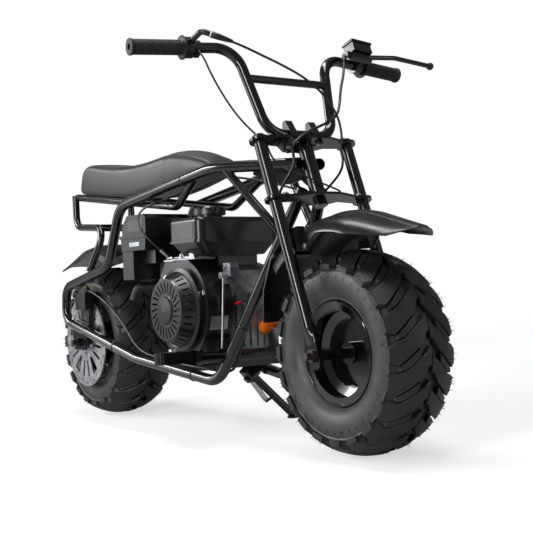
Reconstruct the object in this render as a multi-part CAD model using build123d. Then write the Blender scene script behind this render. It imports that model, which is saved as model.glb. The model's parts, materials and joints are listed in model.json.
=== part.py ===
from build123d import *
import math
import os

# Minibike with a 196 cc class single, leaning on its side stand. Millimetres.
# It is drawn upright: +X forward, +Y to the rider's left, +Z up, the origin
# on the ground under the rear axle. place() then leans it onto the stand and
# moves the origin to the middle of the footprint.

# Chassis
WHEELBASE = 1070.0
RAKE = 20.8
LEAN = 4.5
FRAME_TUBE = 25.4
RAIL_TUBE = 19.0
BRACE_TUBE = 19.0
TUBE_WALL = 2.0
HEAD_TUBE = 31.8
PLATE = 5.0

# Front end, in the steering frame (z up the axis, x ahead of it)
STEER_X = 1074.0
AXLE_BACK = 4.0
FORK_SPREAD = 113.7
FORK_TUBE = 25.4
HEAD_LOW = 336.0
HEAD_TOP = 462.0
CLAMP_GAP = 0.5
CLAMP_THICK = 6.0
STEM_BOLT = 16.0
BAR_TUBE = 22.2
CROSSBAR_TUBE = 17.0
GRIP_LENGTH = 119.0
GRIP_DIAMETER = 31.0

# Wheels
TYRE_RADIUS = 203.0
TYRE_HALF = 80.0
LUG_HEIGHT = 10.0
LUG_COUNT = 18
FACETS = 36
SHOULDER_RADIUS = 167.0
SHOULDER_HALF = 67.0
RIM_FLANGE = 102.5
RIM_HALF = 59.5
RIM_SEAT = 88.5
RIM_WALL = 3.0
WEB_OFFSET = 14.0
HUB_RADIUS = 22.0
HUB_HALF = 33.0
AXLE = 15.9
AXLE_THREAD = 15.0
THREAD_SHOWN = 12.0
FIT = 0.3
RUNNING = 0.05
DISC_RADIUS = 122.0
DISC_OFFSET = 95.0
DISC_THICK = 4.0
SPROCKET_OFFSET = 92.0
CHAIN_PITCH = 12.7
SPROCKET_TEETH = 48
PINION_TEETH = 11
ROLLER = 7.8

# Engine
CRANK_X = 592.0
CRANK_Z = 293.0
ENGINE_BASE = 178.0
CYLINDER_SLANT = 10.0
CASE_RIGHT, CASE_LEFT = -60.0, 72.0
FAN_RADIUS = 113.0
FAN_BACK = 60.0
FAN_FRONT = 126.0
RECOIL_RADIUS = 93.0
RECOIL_FACE = 70.0
RECOIL_FRONT = 170.0

# Cables. Points are x, y, z: the first list of each in the steering frame,
# the others in the upright frame. Each cable is cut where it runs along the
# steering axis, so its two halves slide past each other as the bars turn.
CABLE_GAP = 0.3
THROTTLE_CABLE, KILL_WIRE, BRAKE_HOSE = 5.0, 4.0, 6.0
THROTTLE_ON_BARS = [
    (62, -212, 668), (80, -172, 642), (84, -118, 616), (80, -64, 598), (74, -12, 578), (70, 30, 544),
    (62, 58, 502), (50, 66, 462), (38, 62, 436), (37, 61, 424),
]
THROTTLE_AT_HEAD = [(37, 61, 424), (36, 61, 408), (24, 62, 394), (4, 62, 386), (-18, 60, 380), (-38, 53, 371)]
THROTTLE_IN_FRAME = [
    (880, 42, 536), (852, 20, 546), (812, -12, 562), (766, -44, 576), (712, -64, 586), (656, -66, 584),
    (600, -62, 578), (548, -60, 572), (498, -68, 566), (462, -86, 558), (446, -116, 546), (448, -150, 530),
    (462, -166, 502), (484, -162, 472), (502, -144, 446), (508, -128, 430),
]
KILL_ON_BARS = [
    (3, -210.5, 668), (20, -213, 645), (22, -208, 606), (2, -176, 566), (-18, -138, 530), (-26, -104, 500), (-22, -82, 476), (-21, -79, 457),
]
KILL_AT_HEAD = [
    (-21, -79, 457), (-20, -77, 438), (-12, -70, 416), (4, -54, 394), (19, -30, 374), (24, 0, 358), (19, 32, 350),
    (8, 56, 349), (-14, 68, 352), (-42, 60, 350),
]
KILL_IN_FRAME = [
    (884, 54, 500), (866, 30, 468), (846, 18, 430), (826, 12, 392), (804, 4, 352), (778, -14, 322),
    (748, -34, 312), (722, -48, 308), (700, -55, 302),
]
HOSE_ON_BARS = [
    (27, 155, 664), (30, 142, 632), (28, 120, 590), (30, 102, 548), (36, 80, 516), (40, 44, 494), (40, 4, 478),
    (38, -34, 460), (30, -58, 440), (29, -60, 422),
]
HOSE_AT_HEAD = [(29, -60, 422), (28, -61, 404), (14, -64, 389), (-10, -67, 379), (-36, -68, 367), (-60, -63, 353)]
HOSE_IN_FRAME = [
    (870, -50, 488), (862, -33, 462), (851, -25, 430), (830, -33, 396), (804, -42, 354), (777, -50, 308),
    (754, -54, 262), (738, -57, 226), (724, -61, 194), (716, -64, 168), (700, -67, 153), (676, -74, 150),
    (640, -88, 156), (594, -100, 160), (546, -105, 164), (496, -111, 170.5), (444, -116, 178), (392, -121, 186), (342, -121, 205),
    (298, -119, 240), (248, -118, 276), (192, -118, 306), (136, -118, 328), (92, -118, 340), (66, -117, 345),
]

sin, cos, tan, radians = math.sin, math.cos, math.tan, math.radians
RIGHT, LEFT = -1, 1
AXIS_UP = (-sin(radians(RAKE)), 0, cos(radians(RAKE)))
AXIS_AHEAD = (cos(radians(RAKE)), 0, sin(radians(RAKE)))
STEERING = Plane(origin=(STEER_X, 0, TYRE_RADIUS), x_dir=AXIS_AHEAD, z_dir=AXIS_UP)


def tube_path(points, radii):
    """Straight runs joined by tangent arcs, one radius for each inner corner."""
    if len(points) == 2:
        return Line(*points)
    return FilletPolyline(*points, radius=radii)


def round_bar(points, diameter, radii=()):
    path = tube_path([Vector(*p) for p in points], list(radii))
    section = Plane(origin=path @ 0, z_dir=path % 0) * Circle(diameter / 2)
    return sweep(section, path=path)


def tube(points, diameter, radii=(), wall=TUBE_WALL):
    """A bent tube, open at both ends."""
    outer = round_bar(points, diameter, radii)
    inner = round_bar(points, diameter - 2 * wall, radii)
    return outer - inner


def pin(start, end, diameter):
    return round_bar([start, end], diameter)


def side(points, hand):
    """Points given as x, distance from the middle, z."""
    return [(x, hand * y, z) for x, y, z in points]


def steering(shape):
    return STEERING.location * shape


def across(x, z, y0, y1, radius):
    """A round bar along Y."""
    return pin((x, y0, z), (x, y1, z), 2 * radius)


def slab(outline, y0, y1):
    """An outline in X and Z, as thick as y0 to y1."""
    face = make_face(Polyline(*[(x, 0, z) for x, z in outline], close=True))
    return Pos(0, y0, 0) * extrude(face, y1 - y0, dir=(0, 1, 0))


def block(x0, x1, y0, y1, z0, z1):
    return Pos((x0 + x1) / 2, (y0 + y1) / 2, (z0 + z1) / 2) * Box(x1 - x0, y1 - y0, z1 - z0)


def ring_about_y(outline):
    """Turn an outline of (radius, y) pairs round the Y axis."""
    face = make_face(Polyline(*[(r, y, 0) for r, y in outline], close=True))
    return revolve(face, axis=Axis.Y)


# Frame. Each loop is one tube: back from the head, down behind the engine,
# round the rear axle, forward under the engine and up to the head again.
LOOP = [
    (926, 26, 592), (697, 98, 606), (261, 108, 556), (203, 118, 403), (-43, 128, 354),
    (-50, 128, 262), (355, 124, 172), (683, 92, 129), (932, 24, 538),
]
LOOP_RADII = [150, 60, 60, 40, 40, 120, 55]
SUPPORT = [(-55, 86, 611), (-52, 86, 522), (152, 96, 508), (96, 122, 396)]
SUPPORT_RADII = [34, 38]
SEAT_RAIL = [(-52, 80, 606), (505, 80, 535), (610, 92, 592)]
BRACE = [(736, 86, 596), (882, 46, 446)]


def frame_loop(hand):
    head = steering(Pos(0, 0, (HEAD_LOW + HEAD_TOP) / 2) * Cylinder(HEAD_TUBE / 2, HEAD_TOP - HEAD_LOW))
    return tube(side(LOOP, hand), FRAME_TUBE, LOOP_RADII) - head


def loop_bar(hand):
    return round_bar(side(LOOP, hand), FRAME_TUBE, LOOP_RADII)


def head_tube():
    height = HEAD_TOP - HEAD_LOW
    shell = Cylinder(HEAD_TUBE / 2, height) - Cylinder(STEM_BOLT / 2 + RUNNING, height)
    return steering(Pos(0, 0, (HEAD_LOW + HEAD_TOP) / 2) * shell)


def gussets(loops):
    """A web under each upper rail at the head, its lower edge cut round."""
    plan = [(935, 12), (780, 60), (780, 64), (935, 17)]
    outline = [(914, 598), (800, 604), (800, 580), (838, 568), (872, 552), (899, 552), (925, 560)]
    web = slab(outline, -100, 100)
    pieces = []
    for hand in (RIGHT, LEFT):
        strip = make_face(Polyline(*[(x, hand * y, 500) for x, y in plan], close=True))
        strip = extrude(strip, 140, dir=(0, 0, 1))
        pieces.append(web & strip)
    cutter = steering(Pos(0, 0, 400) * Cylinder(HEAD_TUBE / 2, 300))
    return [p - cutter - loops[0] - loops[1] for p in pieces]


def rear_support(hand, loop):
    return tube(side(SUPPORT, hand), RAIL_TUBE, SUPPORT_RADII) - loop


def seat_rail(hand, loop, support):
    return tube(side(SEAT_RAIL, hand), RAIL_TUBE, [40]) - loop - support


def brace(hand, loop):
    return tube(side(BRACE, hand), BRACE_TUBE) - loop


def cross_tubes(bars):
    """Ties between the two sides: under the seat, over the wheel, under the engine."""
    places = [(-52, 606, 80, RAIL_TUBE), (120, 510, 96, RAIL_TUBE), (500, 153, 112, FRAME_TUBE)]
    pieces = []
    for x, z, reach, diameter in places:
        piece = across(x, z, -reach, reach, diameter / 2) - across(x, z, -reach, reach, diameter / 2 - TUBE_WALL)
        for bar in bars:
            piece = piece - bar
        pieces.append(max(piece.solids(), key=lambda s: s.volume))
    return pieces


AXLE_PLATE_Y = 112.0


def axle_plate(hand, loop):
    """The plate that hangs from the loop and holds the rear axle."""
    outline = [(-34, 268), (60, 250), (34, 182), (-30, 182), (-40, 215)]
    y = hand * AXLE_PLATE_Y
    plate = slab(outline, y - PLATE / 2, y + PLATE / 2)
    slot = block(-22, 8, y - PLATE, y + PLATE, TYRE_RADIUS - AXLE / 2 - FIT, TYRE_RADIUS + AXLE / 2 + FIT)
    bore = across(8, TYRE_RADIUS, y - PLATE, y + PLATE, AXLE / 2 + FIT)
    return plate - slot - bore - loop


PEG_BAR_X, PEG_BAR_Z, PEG_BAR_HALF = 703.0, 187.0, 150.0


def peg_bar(bars):
    bar = across(PEG_BAR_X, PEG_BAR_Z, -PEG_BAR_HALF, PEG_BAR_HALF, FRAME_TUBE / 2)
    for loop in bars:
        bar = bar - loop
    caps = [across(PEG_BAR_X, PEG_BAR_Z, h * PEG_BAR_HALF, h * (PEG_BAR_HALF + 4), 15) for h in (RIGHT, LEFT)]
    body = bar
    for cap in caps:
        body = body + cap
    return body


PEG_X, PEG_HALF_WIDTH, PEG_HEIGHT, PEG_OUT = 668.0, 17.0, 26.0, 240.0


def footpeg(hand):
    """A folded channel on ears behind the peg bar."""
    y0, y1 = PEG_BAR_HALF - 20, PEG_OUT
    z0 = PEG_BAR_Z - 10
    outer = block(PEG_X - PEG_HALF_WIDTH, PEG_X + PEG_HALF_WIDTH, y0, y1, z0, z0 + PEG_HEIGHT)
    inner = block(PEG_X - PEG_HALF_WIDTH + 4, PEG_X + PEG_HALF_WIDTH - 4, y0 - 1, y1 - 4, z0 - 1, z0 + PEG_HEIGHT - 4)
    ear = block(PEG_X + PEG_HALF_WIDTH - 1, PEG_BAR_X - FRAME_TUBE / 2 + 4, y0 + 1, y0 + 18, z0 + 2, z0 + 20)
    peg = outer + ear - inner
    peg = peg - across(PEG_BAR_X, PEG_BAR_Z, y0 - 5, y0 + 60, FRAME_TUBE / 2)
    corners = peg.edges().filter_by(Axis.Z).group_by(Axis.Y)[-1]
    peg = fillet(corners, 12)
    return peg if hand == LEFT else mirror(peg, about=Plane.XZ)


def engine_tray():
    """The folded plate that carries the engine."""
    x0, x1, y0, y1 = 470, PEG_BAR_X - FRAME_TUBE / 2 - 0.3, -66, 74
    top = ENGINE_BASE - FIT
    tray = block(x0, x1, y0, y1, top - 18, top) - block(x0 + 4, x1 - 4, y0 - 1, y1 + 1, top - 19, top - 4)
    for x in (520, 640):
        for y in (-40, 48):
            slot = Pos(x, y, top) * extrude(SlotOverall(34, 9), 10, both=True)
            tray = tray - slot
    return tray


# Side stand. Its pivot leans out so that one swing takes the leg from out
# and down to straight back.
PIVOT = Vector(548, 86, 126)
LEG_OUT = Vector(0.22, 0.66, -0.72).normalized()
LEG_BACK = Vector(-0.985, 0.12, -0.06).normalized()
PIVOT_AXIS = LEG_OUT.cross(LEG_BACK).normalized()
FOOT_RADIUS = 17.0
FOOT_THICK = 4.0
LEG_DIAMETER = 19.0
EAR_THICK = 6.0
PIVOT_BOLT = 10.0


def lug_radius(y):
    """Tread radius at a distance from the middle: a crown that rolls off."""
    crown = TYRE_HALF ** 2 / (2 * 26.5) + 26.5 / 2
    return TYRE_RADIUS - (crown - math.sqrt(crown ** 2 - y ** 2))


ENVELOPE = [(0, lug_radius(0)), (32, lug_radius(32)), (58, lug_radius(58)), (TYRE_HALF, lug_radius(TYRE_HALF))]


def ground_height(y):
    """Height of the floor in the upright frame once the tyres lean on it."""
    lean = radians(LEAN)
    low = min(-w * sin(lean) + (TYRE_RADIUS - r) * cos(lean) for w, r in ENVELOPE)
    return (low + y * sin(lean)) / cos(lean)


def foot_centre():
    """Where the leg's line comes a foot's thickness above the floor."""
    length = 100.0
    for _ in range(30):
        p = PIVOT + LEG_OUT * length
        length += (p.Z - ground_height(p.Y) - FOOT_THICK) / -LEG_OUT.Z
    return PIVOT + LEG_OUT * length


def stand_leg():
    foot = foot_centre()
    leg = pin(PIVOT + LEG_OUT * 6, foot, LEG_DIAMETER)
    hub = Plane(origin=PIVOT, z_dir=PIVOT_AXIS).location * Cylinder(15, LEG_DIAMETER)
    pad_plane = Plane(origin=foot, z_dir=(0, -sin(radians(LEAN)), cos(radians(LEAN))))
    pad = pad_plane.location * Pos(0, 0, -FOOT_THICK / 2) * Cylinder(FOOT_RADIUS, FOOT_THICK)
    trim = pad_plane.location * Pos(0, 0, -FOOT_THICK - 25) * Box(120, 120, 50)
    bore = Plane(origin=PIVOT, z_dir=PIVOT_AXIS).location * Cylinder(PIVOT_BOLT / 2 + RUNNING, 60)
    spring_pin = PIVOT + LEG_OUT * 78
    peg = pin(spring_pin, spring_pin + Vector(-14, -16, -14), 7)
    return (leg + hub + pad + peg) - trim - bore


def stand_bracket(loop):
    """A folded clevis and its pivot bolt, welded under the left loop."""
    plane = Plane(origin=PIVOT, x_dir=Vector(1, 0, 0), z_dir=PIVOT_AXIS)
    middle = LEG_DIAMETER / 2 + 0.5 + EAR_THICK / 2
    clevis = Pos(0, -21, 0) * Box(30, 5, 2 * middle + EAR_THICK)
    for offset in (-middle, middle):
        clevis += Pos(0, 0, offset) * Cylinder(15, EAR_THICK)
        clevis += Pos(0, -11, offset) * Box(30, 22, EAR_THICK)
    bolt = Cylinder(PIVOT_BOLT / 2, 2 * middle + EAR_THICK)
    head = Pos(0, 0, -middle - EAR_THICK / 2 - 3) * Cylinder(9, 6)
    return plane.location * (clevis + bolt + head) - loop


# Wheels, about their own axle, which lies along Y through the origin
def polygon_loft(sections):
    """Flat-sided rings of tyre, from (y, radius) pairs."""
    faces = []
    for y, r in sections:
        plane = Plane(origin=(0, y, 0), x_dir=(1, 0, 0), z_dir=(0, 1, 0))
        faces.append(plane * RegularPolygon(radius=r / cos(math.pi / FACETS), side_count=FACETS))
    return loft(faces, ruled=True)


def lug_block(hand):
    """One chevron lug, swept back towards the shoulder with a knee half way."""
    base = TYRE_RADIUS - LUG_HEIGHT - 14
    outline = [(-6, 3), (18, 3), (34, 36), (33, 52), (40, 60), (40, 80), (6, 80), (8, 58), (-4, 44)]
    plane = Plane(origin=(0, 0, base), x_dir=(1, 0, 0), z_dir=(0, 0, 1))
    face = plane * make_face(Polyline(*[(s, hand * y) for s, y in outline], close=True))
    prism = extrude(face, 60)
    mirrored = [(-w, r) for w, r in reversed(ENVELOPE)][:-1] + ENVELOPE
    lug = prism & polygon_loft(mirrored)
    wedge = slab([(-60, 240), (60, 240), (60, 166), (-60, 166)], -90, 90)
    return lug & wedge


def tyre():
    tread = TYRE_RADIUS - LUG_HEIGHT
    half = [(0, tread), (36, tread - 5), (SHOULDER_HALF, SHOULDER_RADIUS), (75, 140)]
    sections = [(-y, r) for y, r in reversed(half)][:-1] + half
    carcass = polygon_loft(sections)
    for hand in (RIGHT, LEFT):
        dish = polygon_loft([(hand * (RIM_HALF - 2), RIM_FLANGE), (hand * 75.5, 141.5)])
        carcass = carcass - dish
    carcass = carcass - (Rot(90, 0, 0) * Cylinder(RIM_FLANGE + FIT, 200))
    hollow = polygon_loft([(-46, 101), (-62, 140), (-56, 160), (0, 180), (56, 160), (62, 140), (46, 101)])
    carcass = carcass - hollow
    bead_out, bead_in = RIM_HALF - RIM_WALL - FIT, RIM_HALF - 19
    beads = ring_about_y([
        (RIM_FLANGE + 4, bead_in), (RIM_FLANGE + 4, bead_out), (RIM_SEAT + FIT, bead_out), (RIM_SEAT + FIT, bead_in),
    ])
    carcass = carcass + beads + mirror(beads, about=Plane.XZ)
    pitch = 360 / LUG_COUNT
    solids = []
    for hand, phase in ((RIGHT, 0.0), (LEFT, pitch / 2)):
        lug = lug_block(hand)
        for n in range(LUG_COUNT):
            solids.append(Rot(0, n * pitch + phase, 0) * lug)
    return carcass.fuse(*solids)


def rim():
    """Pressed steel: two flanges, bead seats, a well and a web off the middle."""
    outer = [
        (RIM_FLANGE, RIM_HALF), (RIM_FLANGE, RIM_HALF - RIM_WALL), (RIM_SEAT, RIM_HALF - RIM_WALL),
        (RIM_SEAT, 30), (72, 22), (72, -22), (RIM_SEAT, -30), (RIM_SEAT, RIM_WALL - RIM_HALF),
        (RIM_FLANGE, RIM_WALL - RIM_HALF), (RIM_FLANGE, -RIM_HALF),
    ]
    inner = [
        (RIM_SEAT - RIM_WALL, -RIM_HALF), (RIM_SEAT - RIM_WALL, -32), (69, -24),
        (69, 24), (RIM_SEAT - RIM_WALL, 32), (RIM_SEAT - RIM_WALL, RIM_HALF),
    ]
    barrel = ring_about_y(outer + inner)
    web = Pos(0, -WEB_OFFSET, 0) * Rot(90, 0, 0) * Cylinder(70, RIM_WALL)
    hub = Rot(90, 0, 0) * Cylinder(HUB_RADIUS, 2 * HUB_HALF)
    bore = Rot(90, 0, 0) * Cylinder(AXLE / 2 + RUNNING, 3 * HUB_HALF)
    return barrel + web + hub - bore


def at_rear(shape):
    return Pos(0, 0, TYRE_RADIUS) * shape


def at_front(shape):
    return Pos(WHEELBASE, 0, TYRE_RADIUS) * shape


def brake_disc():
    """The disc with its carrier tube back to the rim's web."""
    disc = Cylinder(DISC_RADIUS, DISC_THICK)
    window = make_face(Polyline((-15, 98), (15, 98), (5, 50), (-5, 50), close=True))
    slit = make_face(Polyline((-4, 96), (4, 96), (4, 52), (-4, 52), close=True))
    cuts = []
    for n in range(5):
        cuts.append(Rot(0, 0, n * 72) * extrude(window, 10, both=True))
        cuts.append(Rot(0, 0, n * 72 + 26) * extrude(slit, 10, both=True))
        cuts.append(Rot(0, 0, n * 72 - 26) * extrude(slit, 10, both=True))
    for n in range(30):
        radius = 113 if n % 2 else 107
        cuts.append(Rot(0, 0, n * 12) * Pos(0, radius, 0) * Cylinder(2.6, 10))
    disc = disc.cut(*cuts)
    bolts = [Rot(0, 0, n * 72 + 36) * Pos(0, 34, DISC_THICK / 2 + 2) * Cylinder(5.5, 4) for n in range(5)]
    for bolt in bolts:
        disc = disc + bolt
    depth = DISC_OFFSET - DISC_THICK / 2 - HUB_HALF
    carrier = Pos(0, 0, -DISC_THICK / 2 - depth / 2) * Cylinder(30, depth - FIT)
    whole = disc + carrier - Cylinder(AXLE / 2 + RUNNING, 300)
    return at_rear(Pos(0, -DISC_OFFSET, 0) * Rot(90, 0, 0) * whole)


def pitch_radius(teeth):
    return CHAIN_PITCH / (2 * sin(math.pi / teeth))


TIP_GAP = 1.0


def rear_sprocket():
    """Its teeth stop just short of the rollers, since the chain stands still."""
    tip = pitch_radius(SPROCKET_TEETH) - ROLLER / 2 - TIP_GAP
    root = tip - 4
    points = []
    for n in range(SPROCKET_TEETH):
        for part, radius in ((-0.22, root), (-0.1, tip), (0.1, tip), (0.22, root)):
            a = 2 * math.pi * (n + part) / SPROCKET_TEETH
            points.append((radius * cos(a), radius * sin(a)))
    plate = extrude(make_face(Polyline(*points, close=True)), 2.5, both=True)
    cuts = [Rot(0, 0, n * 60) * Pos(0, 58, 0) * Cylinder(17, 20) for n in range(6)]
    plate = plate.cut(*cuts)
    depth = SPROCKET_OFFSET - 2.5 - HUB_HALF
    carrier = Pos(0, 0, 2.5 + depth / 2) * Cylinder(30, depth - FIT)
    whole = plate + carrier - Cylinder(AXLE / 2 + RUNNING, 300)
    return at_rear(Pos(0, SPROCKET_OFFSET, 0) * Rot(90, 0, 0) * whole)


def axle_bolt(x, half, thick):
    """Through both plates or tabs: a head on the left, a nut and the thread's end on the right."""
    bolt = across(x, TYRE_RADIUS, -half, half, AXLE / 2)
    bolt += across(x, TYRE_RADIUS, -half - thick - THREAD_SHOWN, -half, AXLE_THREAD / 2)
    for hand in (RIGHT, LEFT):
        bolt += Pos(x, hand * half, TYRE_RADIUS) * Rot(-90 * hand, 0, 0) * extrude(RegularPolygon(13, 6), thick)
    return bolt


def rear_axle():
    pieces = axle_bolt(0, AXLE_PLATE_Y + PLATE / 2, 10)
    inner = AXLE_PLATE_Y - PLATE / 2
    pieces += across(0, TYRE_RADIUS, -inner, -DISC_OFFSET - DISC_THICK / 2 - 5, 12)
    return pieces + across(0, TYRE_RADIUS, SPROCKET_OFFSET + 3.5, inner, 12)


# Chain, clutch and guard
def chain_line(offset):
    """The chain's pitch line, moved out by an offset: two arcs and two runs."""
    big = pitch_radius(SPROCKET_TEETH) + offset
    small = pitch_radius(PINION_TEETH) + offset
    run = math.hypot(CRANK_X, CRANK_Z - TYRE_RADIUS)
    lift = math.atan2(CRANK_Z - TYRE_RADIUS, CRANK_X)
    lean = math.asin((big - small) / run)
    points = []
    for sign in (1, -1):
        a = lift + sign * (math.pi / 2 - lean)
        points.append(((big * cos(a), TYRE_RADIUS + big * sin(a)), (CRANK_X + small * cos(a), CRANK_Z + small * sin(a))))
    back = (-big * cos(lift), TYRE_RADIUS - big * sin(lift))
    front = (CRANK_X + small * cos(lift), CRANK_Z + small * sin(lift))
    (top_big, top_small), (low_big, low_small) = points
    to3 = lambda p: (p[0], 0, p[1])
    return [
        Line(to3(top_big), to3(top_small)),
        ThreePointArc(to3(top_small), to3(front), to3(low_small)),
        Line(to3(low_small), to3(low_big)),
        ThreePointArc(to3(low_big), to3(back), to3(top_big)),
    ]


def chain_face(offset):
    return make_face(Wire(chain_line(offset)))


def chain():
    """Two bands of link plates with a roller at each pitch."""
    band = chain_face(5.5) - chain_face(-5.5)
    plates = Part()
    for y in (SPROCKET_OFFSET - 6.2, SPROCKET_OFFSET + 3.2):
        plates += Pos(0, y, 0) * extrude(band, 3.0, dir=(0, 1, 0))
    wire = Wire(chain_line(0))
    count = round(wire.length / CHAIN_PITCH / 2) * 2
    rollers = []
    for n in range(count):
        p = wire @ ((n + 0.5) / count)
        pin_face = Pos(p.X, SPROCKET_OFFSET - 4, p.Z) * Rot(-90, 0, 0) * RegularPolygon(ROLLER / 2, 6)
        rollers.append(extrude(pin_face, 8, dir=(0, 1, 0)))
    return plates.fuse(*rollers)


def clutch():
    """Drum and pinion on the crankshaft."""
    y = SPROCKET_OFFSET
    drum = across(CRANK_X, CRANK_Z, y + 6.5, y + 38, 54)
    drum = drum - across(CRANK_X, CRANK_Z, y + 30, y + 40, 42)
    pinion = across(CRANK_X, CRANK_Z, y - 2.5, y + 2.5, pitch_radius(PINION_TEETH) - ROLLER / 2 - FIT)
    sleeve = across(CRANK_X, CRANK_Z, y - 6 + FIT, y + 7, 13)
    return drum + pinion + sleeve


def chain_guard():
    """A folded cover over the top run, bolted to the engine."""
    y0, y1 = SPROCKET_OFFSET - 10, SPROCKET_OFFSET + 42
    outline = [(520, 372), (650, 372), (680, 330), (676, 326), (648, 368), (522, 368)]
    cover = slab(outline, y0, y1) + slab([(524, 368), (556, 368), (556, 372), (524, 372)], CASE_LEFT, y0)
    plate = slab([(520, 372), (650, 372), (680, 330), (665, 262), (600, 228), (560, 300), (520, 340)], y1, y1 + 3)
    return cover + plate


# Engine
def engine_block():
    """Crankcase and finned barrel, the heavy piece, solid."""
    outline = [(486, 178), (688, 178), (688, 330), (664, 384), (604, 398), (500, 390), (486, 360)]
    case = slab(outline, CASE_RIGHT, CASE_LEFT)
    case = chamfer(case.edges().filter_by(Axis.Y), 8)
    cover = across(CRANK_X, CRANK_Z, CASE_LEFT, CASE_LEFT + 8, 78)
    ribs = Part()
    for n in range(6):
        ribs += block(686, 693, -44 + n * 19, -38 + n * 19, 204, 326)
    barrel = Part()
    for n in range(6):
        barrel += Pos(-112 - 13 * n, 0, 0) * Box(6, 128, 128)
    barrel += Pos(-130, 0, 0) * Box(105.4, 96, 96)
    barrel = Pos(CRANK_X, 4, CRANK_Z) * Rot(0, CYLINDER_SLANT, 0) * barrel
    shaft = across(CRANK_X, CRANK_Z, 78, SPROCKET_OFFSET - 6, 12)
    return case + cover + ribs + barrel + shaft


def engine_head():
    head = Part()
    for n in range(4):
        head += Pos(-190 - 10 * n, 0, 0) * Box(5, 128, 122)
    head += Pos(-208, 0, 0) * Box(50, 100, 96)
    cover = Pos(-246, 0, 0) * Box(30, 96, 88)
    cover = fillet(cover.edges().filter_by(Axis.X), 12)
    flange = Pos(-232, 0, 0) * Box(5, 112, 104)
    head = head + cover + flange
    return Pos(CRANK_X, 4, CRANK_Z) * Rot(0, CYLINDER_SLANT, 0) * head


def fan_shroud():
    disc = across(CRANK_X, CRANK_Z, -FAN_FRONT, -FAN_BACK - FIT, FAN_RADIUS)
    wing = slab([(466, 230), (560, 186), (592, 180), (592, 404), (490, 404), (466, 372)], -FAN_FRONT + 16, -FAN_BACK - FIT)
    shroud = disc + wing
    foot = slab([(500, ENGINE_BASE), (684, ENGINE_BASE), (684, 260), (500, 260)], -FAN_BACK - 30, -FAN_BACK - FIT)
    return shroud + foot


def recoil_starter():
    """Pull-starter housing: flared ring, slotted cone and slotted face."""
    wall = 3.0
    front, back = -RECOIL_FRONT, -FAN_FRONT - FIT
    cone_foot = RECOIL_RADIUS - 9
    outline = [
        (RECOIL_RADIUS, back), (RECOIL_RADIUS + 2, back - 10), (cone_foot + 3, back - 14), (cone_foot, back - 12),
        (RECOIL_FACE, front), (32, front), (29, front - 4), (0, front - 6), (0, front + wall),
        (RECOIL_FACE - wall, front + wall), (cone_foot - wall, back - 10), (cone_foot - wall, back),
    ]
    shell = ring_about_y(outline)
    cuts = []
    slot = Pos(0, 0, 0) * SlotOverall(26, 4.5)
    for n in range(24):
        cuts.append(Rot(0, n * 15, 0) * Pos(52, front, 0) * Rot(90, 0, 14) * extrude(slot, 8, both=True))
    for n in range(30):
        bar = block(68, 98, front + 7, back - 18, -2.6, 2.6)
        cuts.append(Rot(0, n * 12, 0) * bar)
    shell = shell.cut(*cuts)
    return Pos(CRANK_X, 0, CRANK_Z) * shell


TANK = dict(x0=545, x1=690, y0=-137, y1=90, seam=446, top=500, low=414)


def fuel_tank(engine):
    x0, x1, y0, y1 = TANK["x0"], TANK["x1"], TANK["y0"], TANK["y1"]
    upper = block(x0 + 3, x1 - 3, y0 + 3, y1 - 3, TANK["seam"], TANK["top"])
    upper = fillet(upper.edges().filter_by(Axis.Z), 22)
    upper = fillet(upper.faces().sort_by(Axis.Z)[-1].edges(), 12)
    lip = block(x0, x1, y0, y1, TANK["seam"] - 3, TANK["seam"] + 3)
    lip = fillet(lip.edges().filter_by(Axis.Z), 24)
    low_top = Pos((x0 + x1) / 2, (y0 + y1) / 2, TANK["seam"]) * RectangleRounded(x1 - x0 - 8, y1 - y0 - 8, 20)
    low_end = Pos((x0 + x1) / 2, (y0 + y1) / 2, TANK["low"]) * RectangleRounded(x1 - x0 - 40, y1 - y0 - 60, 16)
    lower = loft([low_end, low_top], ruled=True)
    neck = Pos(CAP_X, CAP_Y, TANK["top"] + 2) * Cylinder(30, 10)
    feet = block(x0 + 22, x1 - 55, y0 + 85, y1 - 34, TANK["low"] - 24, TANK["low"] + 1) - engine
    feet = max(feet.solids(), key=lambda s: s.volume)
    return upper + lip + lower + neck + feet


CAP_X, CAP_Y, CAP_RADIUS = 604.0, -52.0, 36.5


def fuel_cap():
    body = Pos(CAP_X, CAP_Y, TANK["top"] + 7.3 + 10) * Cylinder(CAP_RADIUS, 20)
    body = chamfer(body.edges().sort_by(Axis.Z)[-1], 4)
    cuts = []
    for n in range(18):
        a = n * 20
        cuts.append(Pos(CAP_X, CAP_Y, TANK["top"] + 16) * Rot(0, 0, a) * Pos(CAP_RADIUS + 1, 0, 0) * Cylinder(2.5, 14))
    return body.cut(*cuts)


def air_cleaner():
    """Cover, seam, body and the intake box below."""
    cover = slab([(346, 474), (468, 474), (468, 512), (458, 522), (372, 522), (346, 496)], -148, -26)
    seam = block(340, 474, -153, -22, 466, 474)
    body = slab([(342, 466), (470, 466), (466, 436), (346, 436)], -150, -25)
    box_low = block(342, 398, -146, -60, 366, 436)
    duct = block(398, 462, -120, -50, 404, 436)
    cleaner = cover + seam + body + box_low + duct
    return cleaner


def carburettor():
    body = block(420, 462, -86, -60.5, 352, 404)
    bowl = Pos(441, -76.5, 344) * Cylinder(15, 18)
    return body + bowl


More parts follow.
